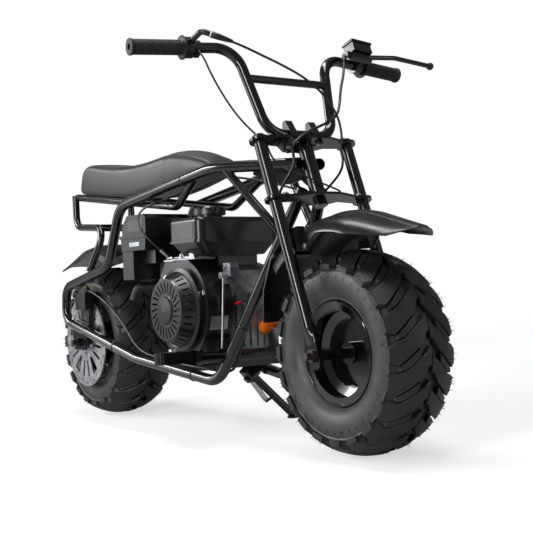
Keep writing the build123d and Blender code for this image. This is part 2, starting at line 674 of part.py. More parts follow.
def governor(engine):
    """The control plate on the fan housing, and the arm and rod ahead of it."""
    plate = block(540, 640, -118, -64, CRANK_Z + FAN_RADIUS + FIT, CRANK_Z + FAN_RADIUS + FIT + 3)
    arm = slab([(700, 348), (712, 348), (712, 392), (700, 392)], -80, -54)
    bracket = slab([(660, 346), (701, 350), (701, 358), (660, 358)], CASE_RIGHT, -52) - engine
    knob = Pos(706, -86, 366) * Rot(90, 0, 0) * Cylinder(8, 14)
    rod = pin((711, -88, 366), (711, -98, 206), 5)
    linkage = max(bracket.solids(), key=lambda s: s.volume) + arm + knob + rod
    return [plate, linkage]


def muffler(engine):
    """A pressed box beside the air cleaner, its heat shield slotted."""
    can = block(352, 486, 28, 104, 404, 492)
    can = fillet(can.edges().filter_by(Axis.Y), 20)
    pipe = round_bar([(352, 66, 440), (318, 66, 440)], 20) - round_bar([(340, 66, 440), (316, 66, 440)], 15)
    port = round_bar([(420, 66, 404), (420, 66, 376)], 28)
    for piece in engine:
        port = port - piece
    return can + pipe + max(port.solids(), key=lambda s: s.volume)


def spark_boot(head):
    boot = round_bar([(394, -44, 350), (352, -112, 348), (340, -120, 316)], 20, [18]) - head
    return max(boot.solids(), key=lambda s: s.volume)


OIL_CAP = Vector(697, 30, 246)


def oil_cap(engine):
    plane = Plane(origin=OIL_CAP, x_dir=(0, 1, 0), z_dir=Vector(0.9, 0, 0.36))
    stem = Pos(0, 0, 11) * Cylinder(15, 34)
    grip = Pos(0, 0, 40) * Box(34, 12, 26)
    grip = grip - Pos(0, 0, 42) * Box(18, 20, 12)
    return plane.location * (stem + grip) - engine


# Seat and guards
def seat(bars):
    """The pad, its underside grooved where it lies on the rails."""
    profile = [
        (-24, 610), (238, 576), (420, 590), (600, 612), (600, 622), (560, 646), (500, 664),
        (425, 676), (340, 662), (262, 652), (150, 664), (30, 686), (-6, 684),
    ]
    body = slab(profile, -88, 88)
    plan = [(-40, 84), (30, 88), (300, 80), (480, 66), (604, 42)]
    outline = [(x, -y) for x, y in plan] + [(x, y) for x, y in reversed(plan)]
    wall = extrude(make_face(Polyline(*[(x, y, 500) for x, y in outline], close=True)), 260, dir=(0, 0, 1))
    body = body & wall
    for bar in bars:
        body = body - bar
    return max(body.solids(), key=lambda s: s.volume)


def both_sides(half):
    """A half outline of (radius, y) pairs, carried over to the other side."""
    return [(r, -y) for r, y in reversed(half)][:-1] + half


def crowned_arc(outer, inner, low, high):
    """A crowned sheet about the Y axis, between two angles up from +X."""
    outline = both_sides(outer) + list(reversed(both_sides(inner)))
    face = make_face(Polyline(*[(r, y, 0) for r, y in outline], close=True))
    return Rot(0, -high, 0) * revolve(face, axis=Axis.Y, revolution_arc=high - low)


def beak(outer, inner, tip_outer, tip_inner, length, angle):
    """The sheet run on straight from one end of its arc, tapered to its tip."""
    faces = []
    for step, upper, under in ((0, outer, inner), (length, tip_outer, tip_inner)):
        outline = both_sides(upper) + list(reversed(both_sides(under)))
        faces.append(make_face(Polyline(*[(r, y, step) for r, y in outline], close=True)))
    return Rot(0, -angle, 0) * loft(faces, ruled=True)


REAR_OUTER = [(268, 0), (266, 40), (257, 65), (246, 74), (230, 77)]
REAR_INNER = [(265, 0), (263, 39), (255, 62), (244, 71), (230, 74)]
REAR_TIP_OUTER = [(268, 0), (267, 24), (262, 45), (256, 56), (250, 60)]
REAR_TIP_INNER = [(265, 0), (264, 23), (260, 42), (254, 53), (250, 57)]


def rear_fender():
    arc = crowned_arc(REAR_OUTER, REAR_INNER, 62, 105)
    tail = beak(REAR_OUTER, REAR_INNER, REAR_TIP_OUTER, REAR_TIP_INNER, 168, 105)
    stay = block(108, 132, -14, 14, 442, 510 - RAIL_TUBE / 2)
    return at_rear(arc + tail) + stay - across(120, 510, -40, 40, RAIL_TUBE / 2)


FRONT_OUTER = [(281, 0), (280, 16), (275, 21), (270, 56), (258, 78), (246, 85), (226, 87)]
FRONT_INNER = [(278, 0), (277, 14), (272, 19), (267, 54), (256, 75), (244, 82), (226, 84)]
FRONT_TIP_OUTER = [(281, 0), (280, 10), (278, 13), (276, 26), (272, 36), (268, 40), (263, 41)]
FRONT_TIP_INNER = [(278, 0), (277, 9), (275, 12), (273, 24), (270, 33), (266, 37), (263, 38)]


def front_fender():
    """Over the wheel and down behind it, bolted inside the fork tubes."""
    sheet = crowned_arc(FRONT_OUTER, FRONT_INNER, 75, 135)
    sheet = at_front(sheet + beak(FRONT_OUTER, FRONT_INNER, FRONT_TIP_OUTER, FRONT_TIP_INNER, -194, 75))
    tail = [(836, 262), (840, 330), (872, 400), (880, 405)]
    rear = slab(tail + [(884, 401), (875, 397), (843.5, 329), (839.5, 262)], -72, 72)
    rear += slab([(834, 262), (842, 262), (842, 284), (834, 284)], -72, 72)
    lug = Part()
    for hand in (RIGHT, LEFT):
        edge = sorted((hand * 84, hand * (FORK_SPREAD - FORK_TUBE / 2 - FIT)))
        lug += slab([(976, 408), (1012, 408), (1012, 460), (976, 452)], *edge)
    fender = sheet + rear + lug
    forks = steering(Pos(0, FORK_SPREAD, 250) * Cylinder(FORK_TUBE / 2 + FIT, 520))
    forks += steering(Pos(0, -FORK_SPREAD, 250) * Cylinder(FORK_TUBE / 2 + FIT, 520))
    return fender - forks


# Front end
def fork_tube(hand):
    """A straight tube, flattened to a tab at the axle."""
    y = hand * FORK_SPREAD
    round_part = Pos(0, y, (56 + HEAD_TOP + 14) / 2) * Cylinder(FORK_TUBE / 2, HEAD_TOP + 14 - 56)
    top = Plane(origin=(0, y, 56), z_dir=(0, 0, 1)) * Circle(FORK_TUBE / 2)
    flat = Plane(origin=(-2, y, 24), z_dir=(0, 0, 1)) * RectangleRounded(30, 9, 4.4)
    neck = loft([flat, top])
    tab = Pos(-2, y, 5) * Box(30, 9, 38)
    end = Pos(-AXLE_BACK + 1, y, -13) * Rot(90, 0, 0) * Cylinder(14, 9)
    body = round_part + neck + tab + end
    bore = Pos(-AXLE_BACK * cos(radians(RAKE)), y, AXLE_BACK * sin(radians(RAKE))) * Rot(90, 0, 0) * Cylinder(AXLE / 2 + 0.1, 40)
    return steering(body - bore)


def clamp_plate(z, ahead, behind, deep, waist):
    """Deep over the stem, cut back beside it, with a ring round each fork tube."""
    near, ring, out = 12, 21, FORK_SPREAD
    outline = [
        (near, -out), (ahead, -deep), (ahead, deep), (near, out), (-near, out), (-waist, deep + 18),
        (-behind, deep * 0.7), (-behind, -deep * 0.7), (-waist, -deep - 18), (-near, -out),
    ]
    plate = extrude(make_face(Polyline(*[(x, y, z) for x, y in outline], close=True)), CLAMP_THICK, dir=(0, 0, 1))
    for hand in (RIGHT, LEFT):
        plate += Pos(0, hand * out, z + CLAMP_THICK / 2) * Cylinder(ring, CLAMP_THICK)
        plate -= Pos(0, hand * out, z) * Cylinder(FORK_TUBE / 2, 30)
    return plate - Pos(0, 0, z) * Cylinder(STEM_BOLT / 2, 30)


UPPER_Z = HEAD_TOP + CLAMP_GAP
LOWER_Z = HEAD_LOW - CLAMP_GAP - CLAMP_THICK
BAR_Z = UPPER_Z + CLAMP_THICK + 4 + BAR_TUBE / 2


def upper_clamp():
    return steering(clamp_plate(UPPER_Z, 30, 40, 42, 16))


def lower_clamp():
    return steering(clamp_plate(LOWER_Z, 34, 22, 30, 3))


def stem():
    low, top = LOWER_Z - 12, UPPER_Z + CLAMP_THICK
    bolt = Pos(0, 0, (low + top) / 2) * Cylinder(STEM_BOLT / 2, top - low)
    nut = Pos(0, 0, low) * extrude(RegularPolygon(14, 6), 12)
    return steering(bolt + nut)


BAR_HALF_LINE = [(-2, 0, BAR_Z), (-2, 84, BAR_Z), (3, 117, 683), (-23, 352, 677)]


def handlebar():
    left = BAR_HALF_LINE
    right = [(x, -y, z) for x, y, z in reversed(left[1:])]
    line = right + left[1:]
    bar = tube(line, BAR_TUBE, [55, 48, 48, 55])
    solid = round_bar(line, BAR_TUBE, [55, 48, 48, 55])
    cross = pin((2, -106, 612), (2, 106, 612), CROSSBAR_TUBE) - solid
    cross = max(cross.solids(), key=lambda s: s.volume)
    return steering(bar + cross)


def risers():
    """Two folded straps that hold the bar down on saddles."""
    pieces = []
    foot, top = UPPER_Z + CLAMP_THICK, BAR_Z + 30
    outline = [(-26, foot), (24, foot), (24, foot + 5), (17, foot + 5), (6, top), (-4, top), (-20, foot + 5), (-26, foot + 5)]
    for hand in (RIGHT, LEFT):
        y = hand * 30
        strap = slab(outline, y - 9, y + 9)
        strap -= across(-2, BAR_Z, y - 20, y + 20, BAR_TUBE / 2)
        for x in (-21, 19):
            strap += Pos(x, y, foot - CLAMP_THICK - 5) * Cylinder(4.5, 10)
        pieces.append(steering(strap - upper_slot()))
    return pieces


def upper_slot():
    return Pos(0, 0, UPPER_Z + CLAMP_THICK / 2) * Box(200, 400, CLAMP_THICK)


def grip(hand):
    x0, y0, z0 = BAR_HALF_LINE[3]
    x1, y1, z1 = BAR_HALF_LINE[2]
    run = math.sqrt((x1 - x0) ** 2 + (y1 - y0) ** 2 + (z1 - z0) ** 2)
    direction = Vector(x0 - x1, hand * (y0 - y1), z0 - z1).normalized()
    tip = Vector(x0, hand * y0, z0) + direction * 2
    plane = Plane(origin=tip - direction * GRIP_LENGTH, z_dir=direction)
    body = Pos(0, 0, GRIP_LENGTH / 2) * Cylinder(GRIP_DIAMETER / 2, GRIP_LENGTH)
    body += Pos(0, 0, 3) * Cylinder(25, 6)
    body += Pos(0, 0, GRIP_LENGTH - 2) * Cylinder(17.5, 5)
    hole = Pos(0, 0, GRIP_LENGTH / 2 - 2) * Cylinder(BAR_TUBE / 2, GRIP_LENGTH)
    return steering(plane.location * (body - hole))


def bar_plane(hand, inboard):
    """A plane square to the bar, a distance in from the grip's flange."""
    x0, y0, z0 = BAR_HALF_LINE[3]
    x1, y1, z1 = BAR_HALF_LINE[2]
    direction = Vector(x0 - x1, hand * (y0 - y1), z0 - z1).normalized()
    tip = Vector(x0, hand * y0, z0) + direction * 2
    return Plane(origin=tip - direction * (GRIP_LENGTH + inboard), x_dir=(1, 0, 0), z_dir=direction)


def back_along(points, length):
    """A point behind a cable's first one, in line with its first run."""
    first, second = Vector(*points[0]), Vector(*points[1])
    return first - (second - first).normalized() * length


def throttle_housing():
    """The drum with its cable elbow, and the kill switch with its wire boss."""
    plane = bar_plane(RIGHT, 1)
    drum = Pos(0, 0, -9) * Cylinder(22, 18)
    switch = Pos(0, 0, -26) * Cylinder(15, 18)
    button = Pos(0, -15, -26) * Box(12, 12, 10)
    body = plane.location * (drum + switch + button)
    bend = back_along(THROTTLE_ON_BARS, 20)
    body += round_bar([(4, -228, 682), tuple(bend), THROTTLE_ON_BARS[0]], 12, [13])
    body += pin(back_along(KILL_ON_BARS, 12), KILL_ON_BARS[0], 8)
    return steering(body - plane.location * Cylinder(BAR_TUBE / 2, 200))


def brake_master():
    """Clamp, cylinder and slanted reservoir, with the hose's banjo on its inner end."""
    plane = bar_plane(LEFT, 4)
    clamp = Pos(0, 0, -12) * Cylinder(18, 20)
    cylinder = Pos(32, 0, -30) * Cylinder(11, 64)
    arm = Pos(18, 0, -12) * Box(28, 18, 18)
    bowl = Pos(34, -17, -30) * Box(30, 22, 58)
    lid = Pos(34, -30, -30) * Box(35, 5, 63)
    banjo = Pos(32, 0, -68) * Cylinder(8, 12)
    body = plane.location * (clamp + cylinder + arm + bowl + lid + banjo)
    body += pin(back_along(HOSE_ON_BARS, 18), HOSE_ON_BARS[0], 9)
    return steering(body - plane.location * Cylinder(BAR_TUBE / 2, 200))


def brake_lever(master):
    plane = bar_plane(LEFT, 4)
    lever = round_bar([(38, 0, -8), (58, 0, 60), (60, 0, 176)], 11, [50])
    ball = Pos(60, 0, 180) * Sphere(9)
    lever = steering(plane.location * (lever + ball)) - master
    return max(lever.solids(), key=lambda s: s.volume)


def front_axle():
    whole = axle_bolt(WHEELBASE, FORK_SPREAD + 4.5, 8)
    inner = FORK_SPREAD - 4.6
    for hand in (RIGHT, LEFT):
        whole += across(WHEELBASE, TYRE_RADIUS, *sorted((hand * (HUB_HALF + 1), hand * inner)), 11)
    return whole


def caliper():
    """The caliper over the disc's upper rear, with its bracket to the loop."""
    y = -DISC_OFFSET
    body = block(4, 66, y - 30, y + 14, 292, 338)
    body = body - block(0, 70, y - 7, y + 7, 280, TYRE_RADIUS + DISC_RADIUS + 5)
    plate_face = -AXLE_PLATE_Y + PLATE / 2
    bracket = slab([(4, 240), (48, 236), (60, 300), (8, 300)], plate_face, plate_face + PLATE)
    bolt = Pos(50, -112, 345) * Cylinder(9, 14)
    neck = pin(HOSE_IN_FRAME[-1], back_along(HOSE_IN_FRAME[::-1], 14), 9)
    return body + bracket + bolt + neck


# Cables
def bend_radii(points):
    """The largest even arcs: 0.45 of the shorter run over the tangent of half the turn."""
    corners = [Vector(*p) for p in points]
    radii = []
    for before, here, after in zip(corners, corners[1:], corners[2:]):
        turn = (here - before).get_angle(after - here)
        run = min((here - before).length, (after - here).length)
        radii.append(0.45 * run / tan(radians(turn / 2)))
    return radii


def cable(name, points, diameter):
    """A round cable along its route; its radii are printed."""
    radii = bend_radii(points)
    path = FilletPolyline(*[Vector(*p) for p in points], radius=radii)
    body = sweep(Plane(origin=path @ 0, z_dir=path % 0) * Circle(diameter / 2), path=path)
    ratio = body.volume / (math.pi * diameter ** 2 / 4 * path.length)
    print(name, "length", round(path.length), "least radius", round(min(radii)), "volume ratio", round(ratio, 4))
    return body


def head_point(point):
    """A point of the steering frame in the upright frame."""
    moved = STEERING.location * Pos(*point)
    return tuple(moved.position)


def cables():
    """Each cable as its half on the bars and its half in the frame."""
    table = [
        ("throttle_cable", THROTTLE_CABLE, THROTTLE_ON_BARS, THROTTLE_AT_HEAD, THROTTLE_IN_FRAME),
        ("kill_wire", KILL_WIRE, KILL_ON_BARS, KILL_AT_HEAD, KILL_IN_FRAME),
        ("brake_hose", BRAKE_HOSE, HOSE_ON_BARS, HOSE_AT_HEAD, HOSE_IN_FRAME),
    ]
    halves = {}
    for name, diameter, on_bars, at_head, in_frame in table:
        x, y, z = at_head[0]
        at_head = [(x, y, z - CABLE_GAP)] + at_head[1:]
        halves[name + "_bars"] = cable(name + "_bars", [head_point(p) for p in on_bars], diameter)
        halves[name] = cable(name, [head_point(p) for p in at_head] + in_frame, diameter)
    return halves


def build():
    bars = [loop_bar(RIGHT), loop_bar(LEFT)]
    supports = [round_bar(side(SUPPORT, h), RAIL_TUBE, SUPPORT_RADII) for h in (RIGHT, LEFT)]
    rails = [round_bar(side(SEAT_RAIL, h), RAIL_TUBE, [40]) for h in (RIGHT, LEFT)]
    hands = (RIGHT, LEFT)
    under_seat = [round_bar(side(SEAT_RAIL, h), RAIL_TUBE + 2 * FIT, [40]) for h in hands]
    under_seat += [round_bar(side(SUPPORT, h), RAIL_TUBE + 2 * FIT, SUPPORT_RADII) for h in hands]
    engine = engine_block()
    head = engine_head()
    master = brake_master()
    nodes = {
        "frame_loop_right": frame_loop(RIGHT),
        "frame_loop_left": frame_loop(LEFT),
        "head_tube": head_tube(),
        "head_gussets": Compound(children=gussets(bars)),
        "seat_supports": Compound(children=[rear_support(h, bars[i]) for i, h in enumerate(hands)]),
        "seat_rails": Compound(children=[seat_rail(h, bars[i], supports[i]) for i, h in enumerate(hands)]),
        "braces": Compound(children=[brace(h, bars[i]) for i, h in enumerate(hands)]),
        "cross_tubes": Compound(children=cross_tubes(bars + supports + rails)),
        "axle_plates": Compound(children=[axle_plate(h, bars[i]) for i, h in enumerate(hands)]),
        "peg_bar": peg_bar(bars),
        "footpeg_right": footpeg(RIGHT),
        "footpeg_left": footpeg(LEFT),
        "engine_tray": engine_tray(),
        "stand_bracket": stand_bracket(bars[1]),
        "stand_leg": stand_leg(),
        "seat": seat(under_seat),
        "rear_fender": rear_fender(),
        "engine_block": engine,
        "engine_head": head,
        "fan_shroud": fan_shroud(),
        "recoil_starter": recoil_starter(),
        "fuel_tank": fuel_tank(engine),
        "fuel_cap": fuel_cap(),
        "air_cleaner": air_cleaner(),
        "carburettor": carburettor(),
        "governor": Compound(children=governor(engine)),
        "muffler": muffler([engine, head]),
        "spark_boot": spark_boot(head),
        "oil_cap": oil_cap(engine),
        "clutch": clutch(),
        "chain": chain(),
        "chain_guard": chain_guard(),
        "brake_caliper": caliper(),
        "rear_axle": rear_axle(),
        "rear_tyre": at_rear(tyre()),
        "rear_rim": at_rear(rim()),
        "brake_disc": brake_disc(),
        "rear_sprocket": rear_sprocket(),
        "fork_right": fork_tube(RIGHT),
        "fork_left": fork_tube(LEFT),
        "upper_clamp": upper_clamp(),
        "lower_clamp": lower_clamp(),
        "stem": stem(),
        "handlebar": handlebar(),
        "bar_risers": Compound(children=risers()),
        "grips": Compound(children=[grip(RIGHT), grip(LEFT)]),
        "throttle_housing": throttle_housing(),
        "brake_master": master,
        "brake_lever": brake_lever(master),
        "front_fender": front_fender(),
        "front_axle": front_axle(),
        "front_tyre": at_front(tyre()),
        "front_rim": at_front(rim()),
    }
    nodes.update(cables())
    return nodes


nodes = build()
leaned = {name: Rot(-LEAN, 0, 0) * shape for name, shape in nodes.items()}
boxes = [shape.bounding_box() for shape in leaned.values()]
middle_x = (min(b.min.X for b in boxes) + max(b.max.X for b in boxes)) / 2
middle_y = (min(b.min.Y for b in boxes) + max(b.max.Y for b in boxes)) / 2
lift = -min(b.min.Z for b in boxes)
print("shift", round(-middle_x, 3), round(-middle_y, 3), round(lift, 3))
os.makedirs("parts", exist_ok=True)
for name, shape in leaned.items():
    export_step(Pos(-middle_x, -middle_y, lift) * shape, "parts/" + name + ".step")
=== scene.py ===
import json
import math
import random

import bmesh
import bpy
from mathutils import Matrix, Vector


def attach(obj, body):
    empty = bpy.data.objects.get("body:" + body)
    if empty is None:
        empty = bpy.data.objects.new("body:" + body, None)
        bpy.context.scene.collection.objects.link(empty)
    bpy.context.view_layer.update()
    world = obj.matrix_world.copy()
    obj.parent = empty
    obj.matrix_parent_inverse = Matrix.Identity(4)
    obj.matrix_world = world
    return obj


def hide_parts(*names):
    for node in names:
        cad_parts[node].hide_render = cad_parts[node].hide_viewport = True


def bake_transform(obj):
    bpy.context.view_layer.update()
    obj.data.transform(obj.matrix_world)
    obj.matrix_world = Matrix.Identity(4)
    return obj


# Minibike. Pieces are drawn in millimetres on the upright machine: +X
# forward, +Y to the rider's left, origin on the ground under the rear axle.
# UPRIGHT then leans them onto the side stand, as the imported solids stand.

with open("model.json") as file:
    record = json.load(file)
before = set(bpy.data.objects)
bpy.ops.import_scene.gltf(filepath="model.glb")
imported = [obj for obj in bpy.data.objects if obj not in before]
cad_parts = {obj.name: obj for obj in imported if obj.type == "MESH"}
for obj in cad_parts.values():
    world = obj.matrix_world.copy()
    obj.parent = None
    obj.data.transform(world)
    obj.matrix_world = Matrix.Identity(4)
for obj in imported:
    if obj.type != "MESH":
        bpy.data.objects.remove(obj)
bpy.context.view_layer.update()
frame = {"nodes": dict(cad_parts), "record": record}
NODES = frame["nodes"]
JOINTS = {joint["name"]: joint for joint in frame["record"]["behaviour"]["joints"]}

MM = 0.001
LEAN = math.radians(4.5)
RAKE = math.radians(20.8)
TYRE_RADIUS = 203.0
WHEELBASE = 1070.0
STEER_FOOT = Vector((1074.0, 0.0, 203.0))

REAR_AXLE = Vector(JOINTS["rear_wheel_axle"]["pos_m"])
UPRIGHT = (
    Matrix.Translation(REAR_AXLE)
    @ Matrix.Rotation(-LEAN, 4, "X")
    @ Matrix.Scale(MM, 4)
    @ Matrix.Translation((0, 0, -TYRE_RADIUS))
)
# The steering frame: z up the steering axis, x ahead of it
STEERING = Matrix.Translation(STEER_FOOT) @ Matrix.Rotation(-RAKE, 4, "Y")
REAR_WHEEL = Matrix.Translation((0, 0, TYRE_RADIUS))
FRONT_WHEEL = Matrix.Translation((WHEELBASE, 0, TYRE_RADIUS))
PLAIN = Matrix.Identity(4)


# Colours and shader nodes
def linear(hex_colour):
    """sRGB hex to the linear values a shader takes."""
    values = [int(hex_colour[i:i + 2], 16) / 255 for i in (1, 3, 5)]
    return [v / 12.92 if v <= 0.04045 else ((v + 0.055) / 1.055) ** 2.4 for v in values] + [1.0]


def add_node(tree, kind, sockets=None, **settings):
    """A node with its settings; a socket takes a value or another node's output."""
    node = tree.nodes.new(kind)
    for name, value in settings.items():
        setattr(node, name, value)
    for name, value in (sockets or {}).items():
        if isinstance(value, bpy.types.NodeSocket):
            tree.links.new(value, node.inputs[name])
        else:
            node.inputs[name].default_value = value
    return node


def new_material(name):
    material = bpy.data.materials.new(name)
    material.use_nodes = True
    tree = material.node_tree
    tree.nodes.clear()
    place = add_node(tree, "ShaderNodeTexCoord").outputs["Object"]
    return material, tree, place


def finish_material(material, tree, shader):
    add_node(tree, "ShaderNodeOutputMaterial", {"Surface": shader.outputs[0]})
    return material


def ramp(tree, factor, low, high, start, end):
    """A value or a colour that goes from low to high as the factor does."""
    node = add_node(tree, "ShaderNodeMapRange", {
        "Value": factor, "From Min": start, "From Max": end, "To Min": low, "To Max": high,
    })
    return node.outputs["Result"]


def two_tone(tree, factor, dark, light):
    node = add_node(tree, "ShaderNodeMix", {"Factor": factor}, data_type="RGBA")
    node.inputs[6].default_value = linear(dark)
    node.inputs[7].default_value = linear(light)
    return node.outputs[2]


def grain(tree, place, size_mm, detail, rough):
    """Noise whose grains are a real size, in millimetres."""
    return add_node(tree, "ShaderNodeTexNoise", {
        "Vector": place, "Scale": 1.0 / (size_mm * MM), "Detail": detail, "Roughness": rough,
    }).outputs["Fac"]


def bump(tree, height, depth_mm, strength):
    return add_node(tree, "ShaderNodeBump", {
        "Height": height, "Distance": depth_mm * MM, "Strength": strength,
    }).outputs["Normal"]


def tones(tree, cloud, colours, roughness, edges):
    """Sockets that vary colour and gloss as a cloud of noise does."""
    return {
        "Base Color": two_tone(tree, ramp(tree, cloud, 0, 1, *edges), *colours),
        "Roughness": ramp(tree, cloud, *roughness, 0.3, 0.7),
    }


def painted_steel(name, dark, light, rough_low, rough_high, peel_mm, coat):
    """Black paint on steel: faint orange peel under a clear top, and patches of other gloss."""
    material, tree, place = new_material(name)
    peel = grain(tree, place, peel_mm, 1.0, 0.4)
    cloud = grain(tree, place, 45.0, 4.0, 0.6)
    shader = add_node(tree, "ShaderNodeBsdfPrincipled", {
        **tones(tree, cloud, (dark, light), (rough_low, rough_high), (0.35, 0.7)),
        "Normal": bump(tree, peel, 0.01, 0.05),
        "Coat Weight": coat, "Coat Roughness": 0.06, "IOR": 1.5,
    })
    return finish_material(material, tree, shader)


def powder_coat():
    """Gloss black powder coat: deep black with long sharp highlights."""
    return painted_steel("powder_coat_gloss_black", "#060607", "#0c0c0e", 0.16, 0.24, 2.4, 0.35)


def rim_enamel():
    """Stoved gloss enamel on pressed steel: the glossiest black of the machine."""
    return painted_steel("stoved_enamel_black", "#050506", "#0a0a0c", 0.10, 0.17, 3.2, 0.5)


def shroud_paint():
    """Satin black paint on pressed steel, softer than the frame's."""
    return painted_steel("satin_paint_black", "#0a0a0b", "#131315", 0.26, 0.36, 1.8, 0.15)


def moulded_plastic(name, dark, light, rough_low, rough_high, grain_mm):
    """Injection moulded plastic: a fine spark grain and slow changes of gloss."""
    material, tree, place = new_material(name)
    fine = grain(tree, place, grain_mm, 2.0, 0.6)
    cloud = grain(tree, place, 60.0, 3.0, 0.5)
    shader = add_node(tree, "ShaderNodeBsdfPrincipled", {
        **tones(tree, cloud, (dark, light), (rough_low, rough_high), (0.35, 0.7)),
        "Normal": bump(tree, fine, 0.04, 0.4), "IOR": 1.49,
    })
    return finish_material(material, tree, shader)


def tyre_rubber(name="vulcanised_rubber", dark="#141415", light="#222224"):
    """Moulded natural rubber: dull dark grey, paler where the wax has bloomed. Its paler copy on the
    sidewalls is painted light.
    """
    material, tree, place = new_material(name)
    fine = grain(tree, place, 0.9, 3.0, 0.7)
    cloud = grain(tree, place, 38.0, 4.0, 0.6)
    shader = add_node(tree, "ShaderNodeBsdfPrincipled", {
        **tones(tree, cloud, (dark, light), (0.4, 0.56), (0.3, 0.75)),
        "Normal": bump(tree, fine, 0.12, 0.5), "IOR": 1.52,
    })
    return finish_material(material, tree, shader)


def grip_rubber():
    """Soft thermoplastic rubber, matte, with a faint bloom."""
    return moulded_plastic("thermoplastic_rubber", "#0d0d0e", "#19191a", 0.5, 0.64, 0.8)


def seat_vinyl():
    """Calendered PVC over foam: pebble grain about 1.6 mm across."""
    material, tree, place = new_material("pvc_leathercloth")
    pebble = add_node(tree, "ShaderNodeTexVoronoi", {
        "Vector": place, "Scale": 1.0 / (1.6 * MM),
    }, feature="DISTANCE_TO_EDGE").outputs["Distance"]
    crease = ramp(tree, pebble, 0.0, 1.0, 0.0, 0.22)
    cloud = grain(tree, place, 70.0, 3.0, 0.5)
    shader = add_node(tree, "ShaderNodeBsdfPrincipled", {
        **tones(tree, cloud, ("#0e0e0f", "#1a1a1b"), (0.36, 0.5), (0.3, 0.7)),
        "Normal": bump(tree, crease, 0.16, 0.35), "IOR": 1.5,
        "Sheen Weight": 0.08, "Sheen Roughness": 0.5,
    })
    return finish_material(material, tree, shader)


def bare_metal(name, dark, light, rough_low, rough_high, grain_mm, depth_mm):
    """A bare or plated metal: fine grain, and patches that have dulled."""
    material, tree, place = new_material(name)
    fine = grain(tree, place, grain_mm, 3.0, 0.6)
    cloud = grain(tree, place, 22.0, 4.0, 0.6)
    shader = add_node(tree, "ShaderNodeBsdfPrincipled", {
        **tones(tree, cloud, (dark, light), (rough_low, rough_high), (0.3, 0.7)),
        "Metallic": 1.0,
        "Normal": bump(tree, fine, depth_mm, 0.5),
    })
    return finish_material(material, tree, shader)


def orange_nylon():
    """Glass-filled nylon in safety orange, slightly glossy."""
    return moulded_plastic("orange_nylon", "#d8640c", "#ee8420", 0.3, 0.42, 1.2)


MATERIALS = {
    "frame_paint": powder_coat(),
    "rim_paint": rim_enamel(),
    "tyre_rubber": tyre_rubber(),
    # Paler rubber for the sidewalls: painted light, standing in for the soft light that falls on the tyre's
    # side
    "painted_light_sidewall": tyre_rubber("rubber_with_painted_sidewall_light", "#2b2b2c", "#404041"),
    "grip_rubber": grip_rubber(),
    "seat_vinyl": seat_vinyl(),
    "black_plastic": moulded_plastic("abs_black", "#0b0b0c", "#161617", 0.28, 0.4, 0.9),
    "fender_plastic": moulded_plastic("polypropylene_black", "#0c0c0d", "#171718", 0.26, 0.36, 1.1),
    "orange_plastic": orange_nylon(),
    "shroud_paint": shroud_paint(),
    "engine_alloy": bare_metal("die_cast_aluminium", "#6c6e70", "#9b9da0", 0.36, 0.52, 1.4, 0.12),
    "zinc_steel": bare_metal("zinc_plated_steel", "#9ea1a4", "#c6c9cc", 0.3, 0.42, 1.6, 0.01),
    "bright_chrome": bare_metal("chrome_plate", "#c9cbcf", "#e6e8ea", 0.08, 0.14, 6.0, 0.004),
    "chain_steel": bare_metal("oiled_chain_steel", "#3b3936", "#5c5955", 0.3, 0.42, 1.6, 0.012),
    "white_collar": moulded_plastic("nylon_white", "#dedede", "#f0f0f0", 0.35, 0.45, 1.2),
    "red_sleeve": moulded_plastic("pvc_red", "#b0121a", "#d21c24", 0.32, 0.42, 0.9),
    "brass_fitting": bare_metal("yellow_passivated_brass", "#9a7430", "#c69a4c", 0.2, 0.32, 0.8, 0.02),
}


# Making and placing pieces
TO_Z = Matrix.Rotation(math.radians(90), 4, "X")


def finish_piece(obj, slot, body, matrix=PLAIN):
    """Lean the piece into place, give it its material and ride it on its body, if it has one."""
    obj.data.transform(UPRIGHT @ matrix)
    obj.data.materials.clear()
    obj.data.materials.append(MATERIALS[slot])
    if body:
        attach(obj, body)


def object_from(name, bm, smooth=True):
    mesh = bpy.data.meshes.new(name)
    bmesh.ops.recalc_face_normals(bm, faces=bm.faces)
    bm.to_mesh(mesh)
    bm.free()
    for polygon in mesh.polygons:
        polygon.use_smooth = smooth
    obj = bpy.data.objects.new(name, mesh)
    bpy.context.scene.collection.objects.link(obj)
    return obj


def sharpen(obj, degrees=35):
    obj.data.set_sharp_from_angle(angle=math.radians(degrees))
    return obj


def loft(bm, rings):
    """Join rings of corners into one skin, capped at both ends."""
    for here, there in zip(rings, rings[1:]):
        for k in range(len(here)):
            j = (k + 1) % len(here)
            bm.faces.new((here[k], here[j], there[j], there[k]))
    bm.faces.new(rings[0])
    bm.faces.new(list(reversed(rings[-1])))


def prism(bm, outline, y0, y1):
    """A flat outline of (x, z) points given a width across the machine."""
    loft(bm, [[bm.verts.new((x, y, z)) for x, z in outline] for y in (y0, y1)])


def spin(bm, outline, segments):
    """Turn a closed outline of (radius, y) pairs round the Y axis."""
    rings = []
    for n in range(segments):
        a = 2 * math.pi * n / segments
        rings.append([bm.verts.new((r * math.sin(a), y, r * math.cos(a))) for r, y in outline])
    for n in range(segments):
        here, there = rings[n], rings[(n + 1) % segments]
        for k in range(len(outline)):
            j = (k + 1) % len(outline)
            bm.faces.new((here[k], there[k], there[j], here[j]))


# Nodes whose finish differs from their slot's common one
FINISHES = {
    "brake_caliper": "shroud_paint",
    "fuel_cap": "shroud_paint",
    "front_axle": "chain_steel",
    "rear_axle": "chain_steel",
}
NODE_SLOTS = {part["node"]: part["material_slot"] for part in frame["record"]["subparts"]}

for name, obj in NODES.items():
    obj.data.materials.clear()
    obj.data.materials.append(MATERIALS[FINISHES.get(name, NODE_SLOTS[name])])


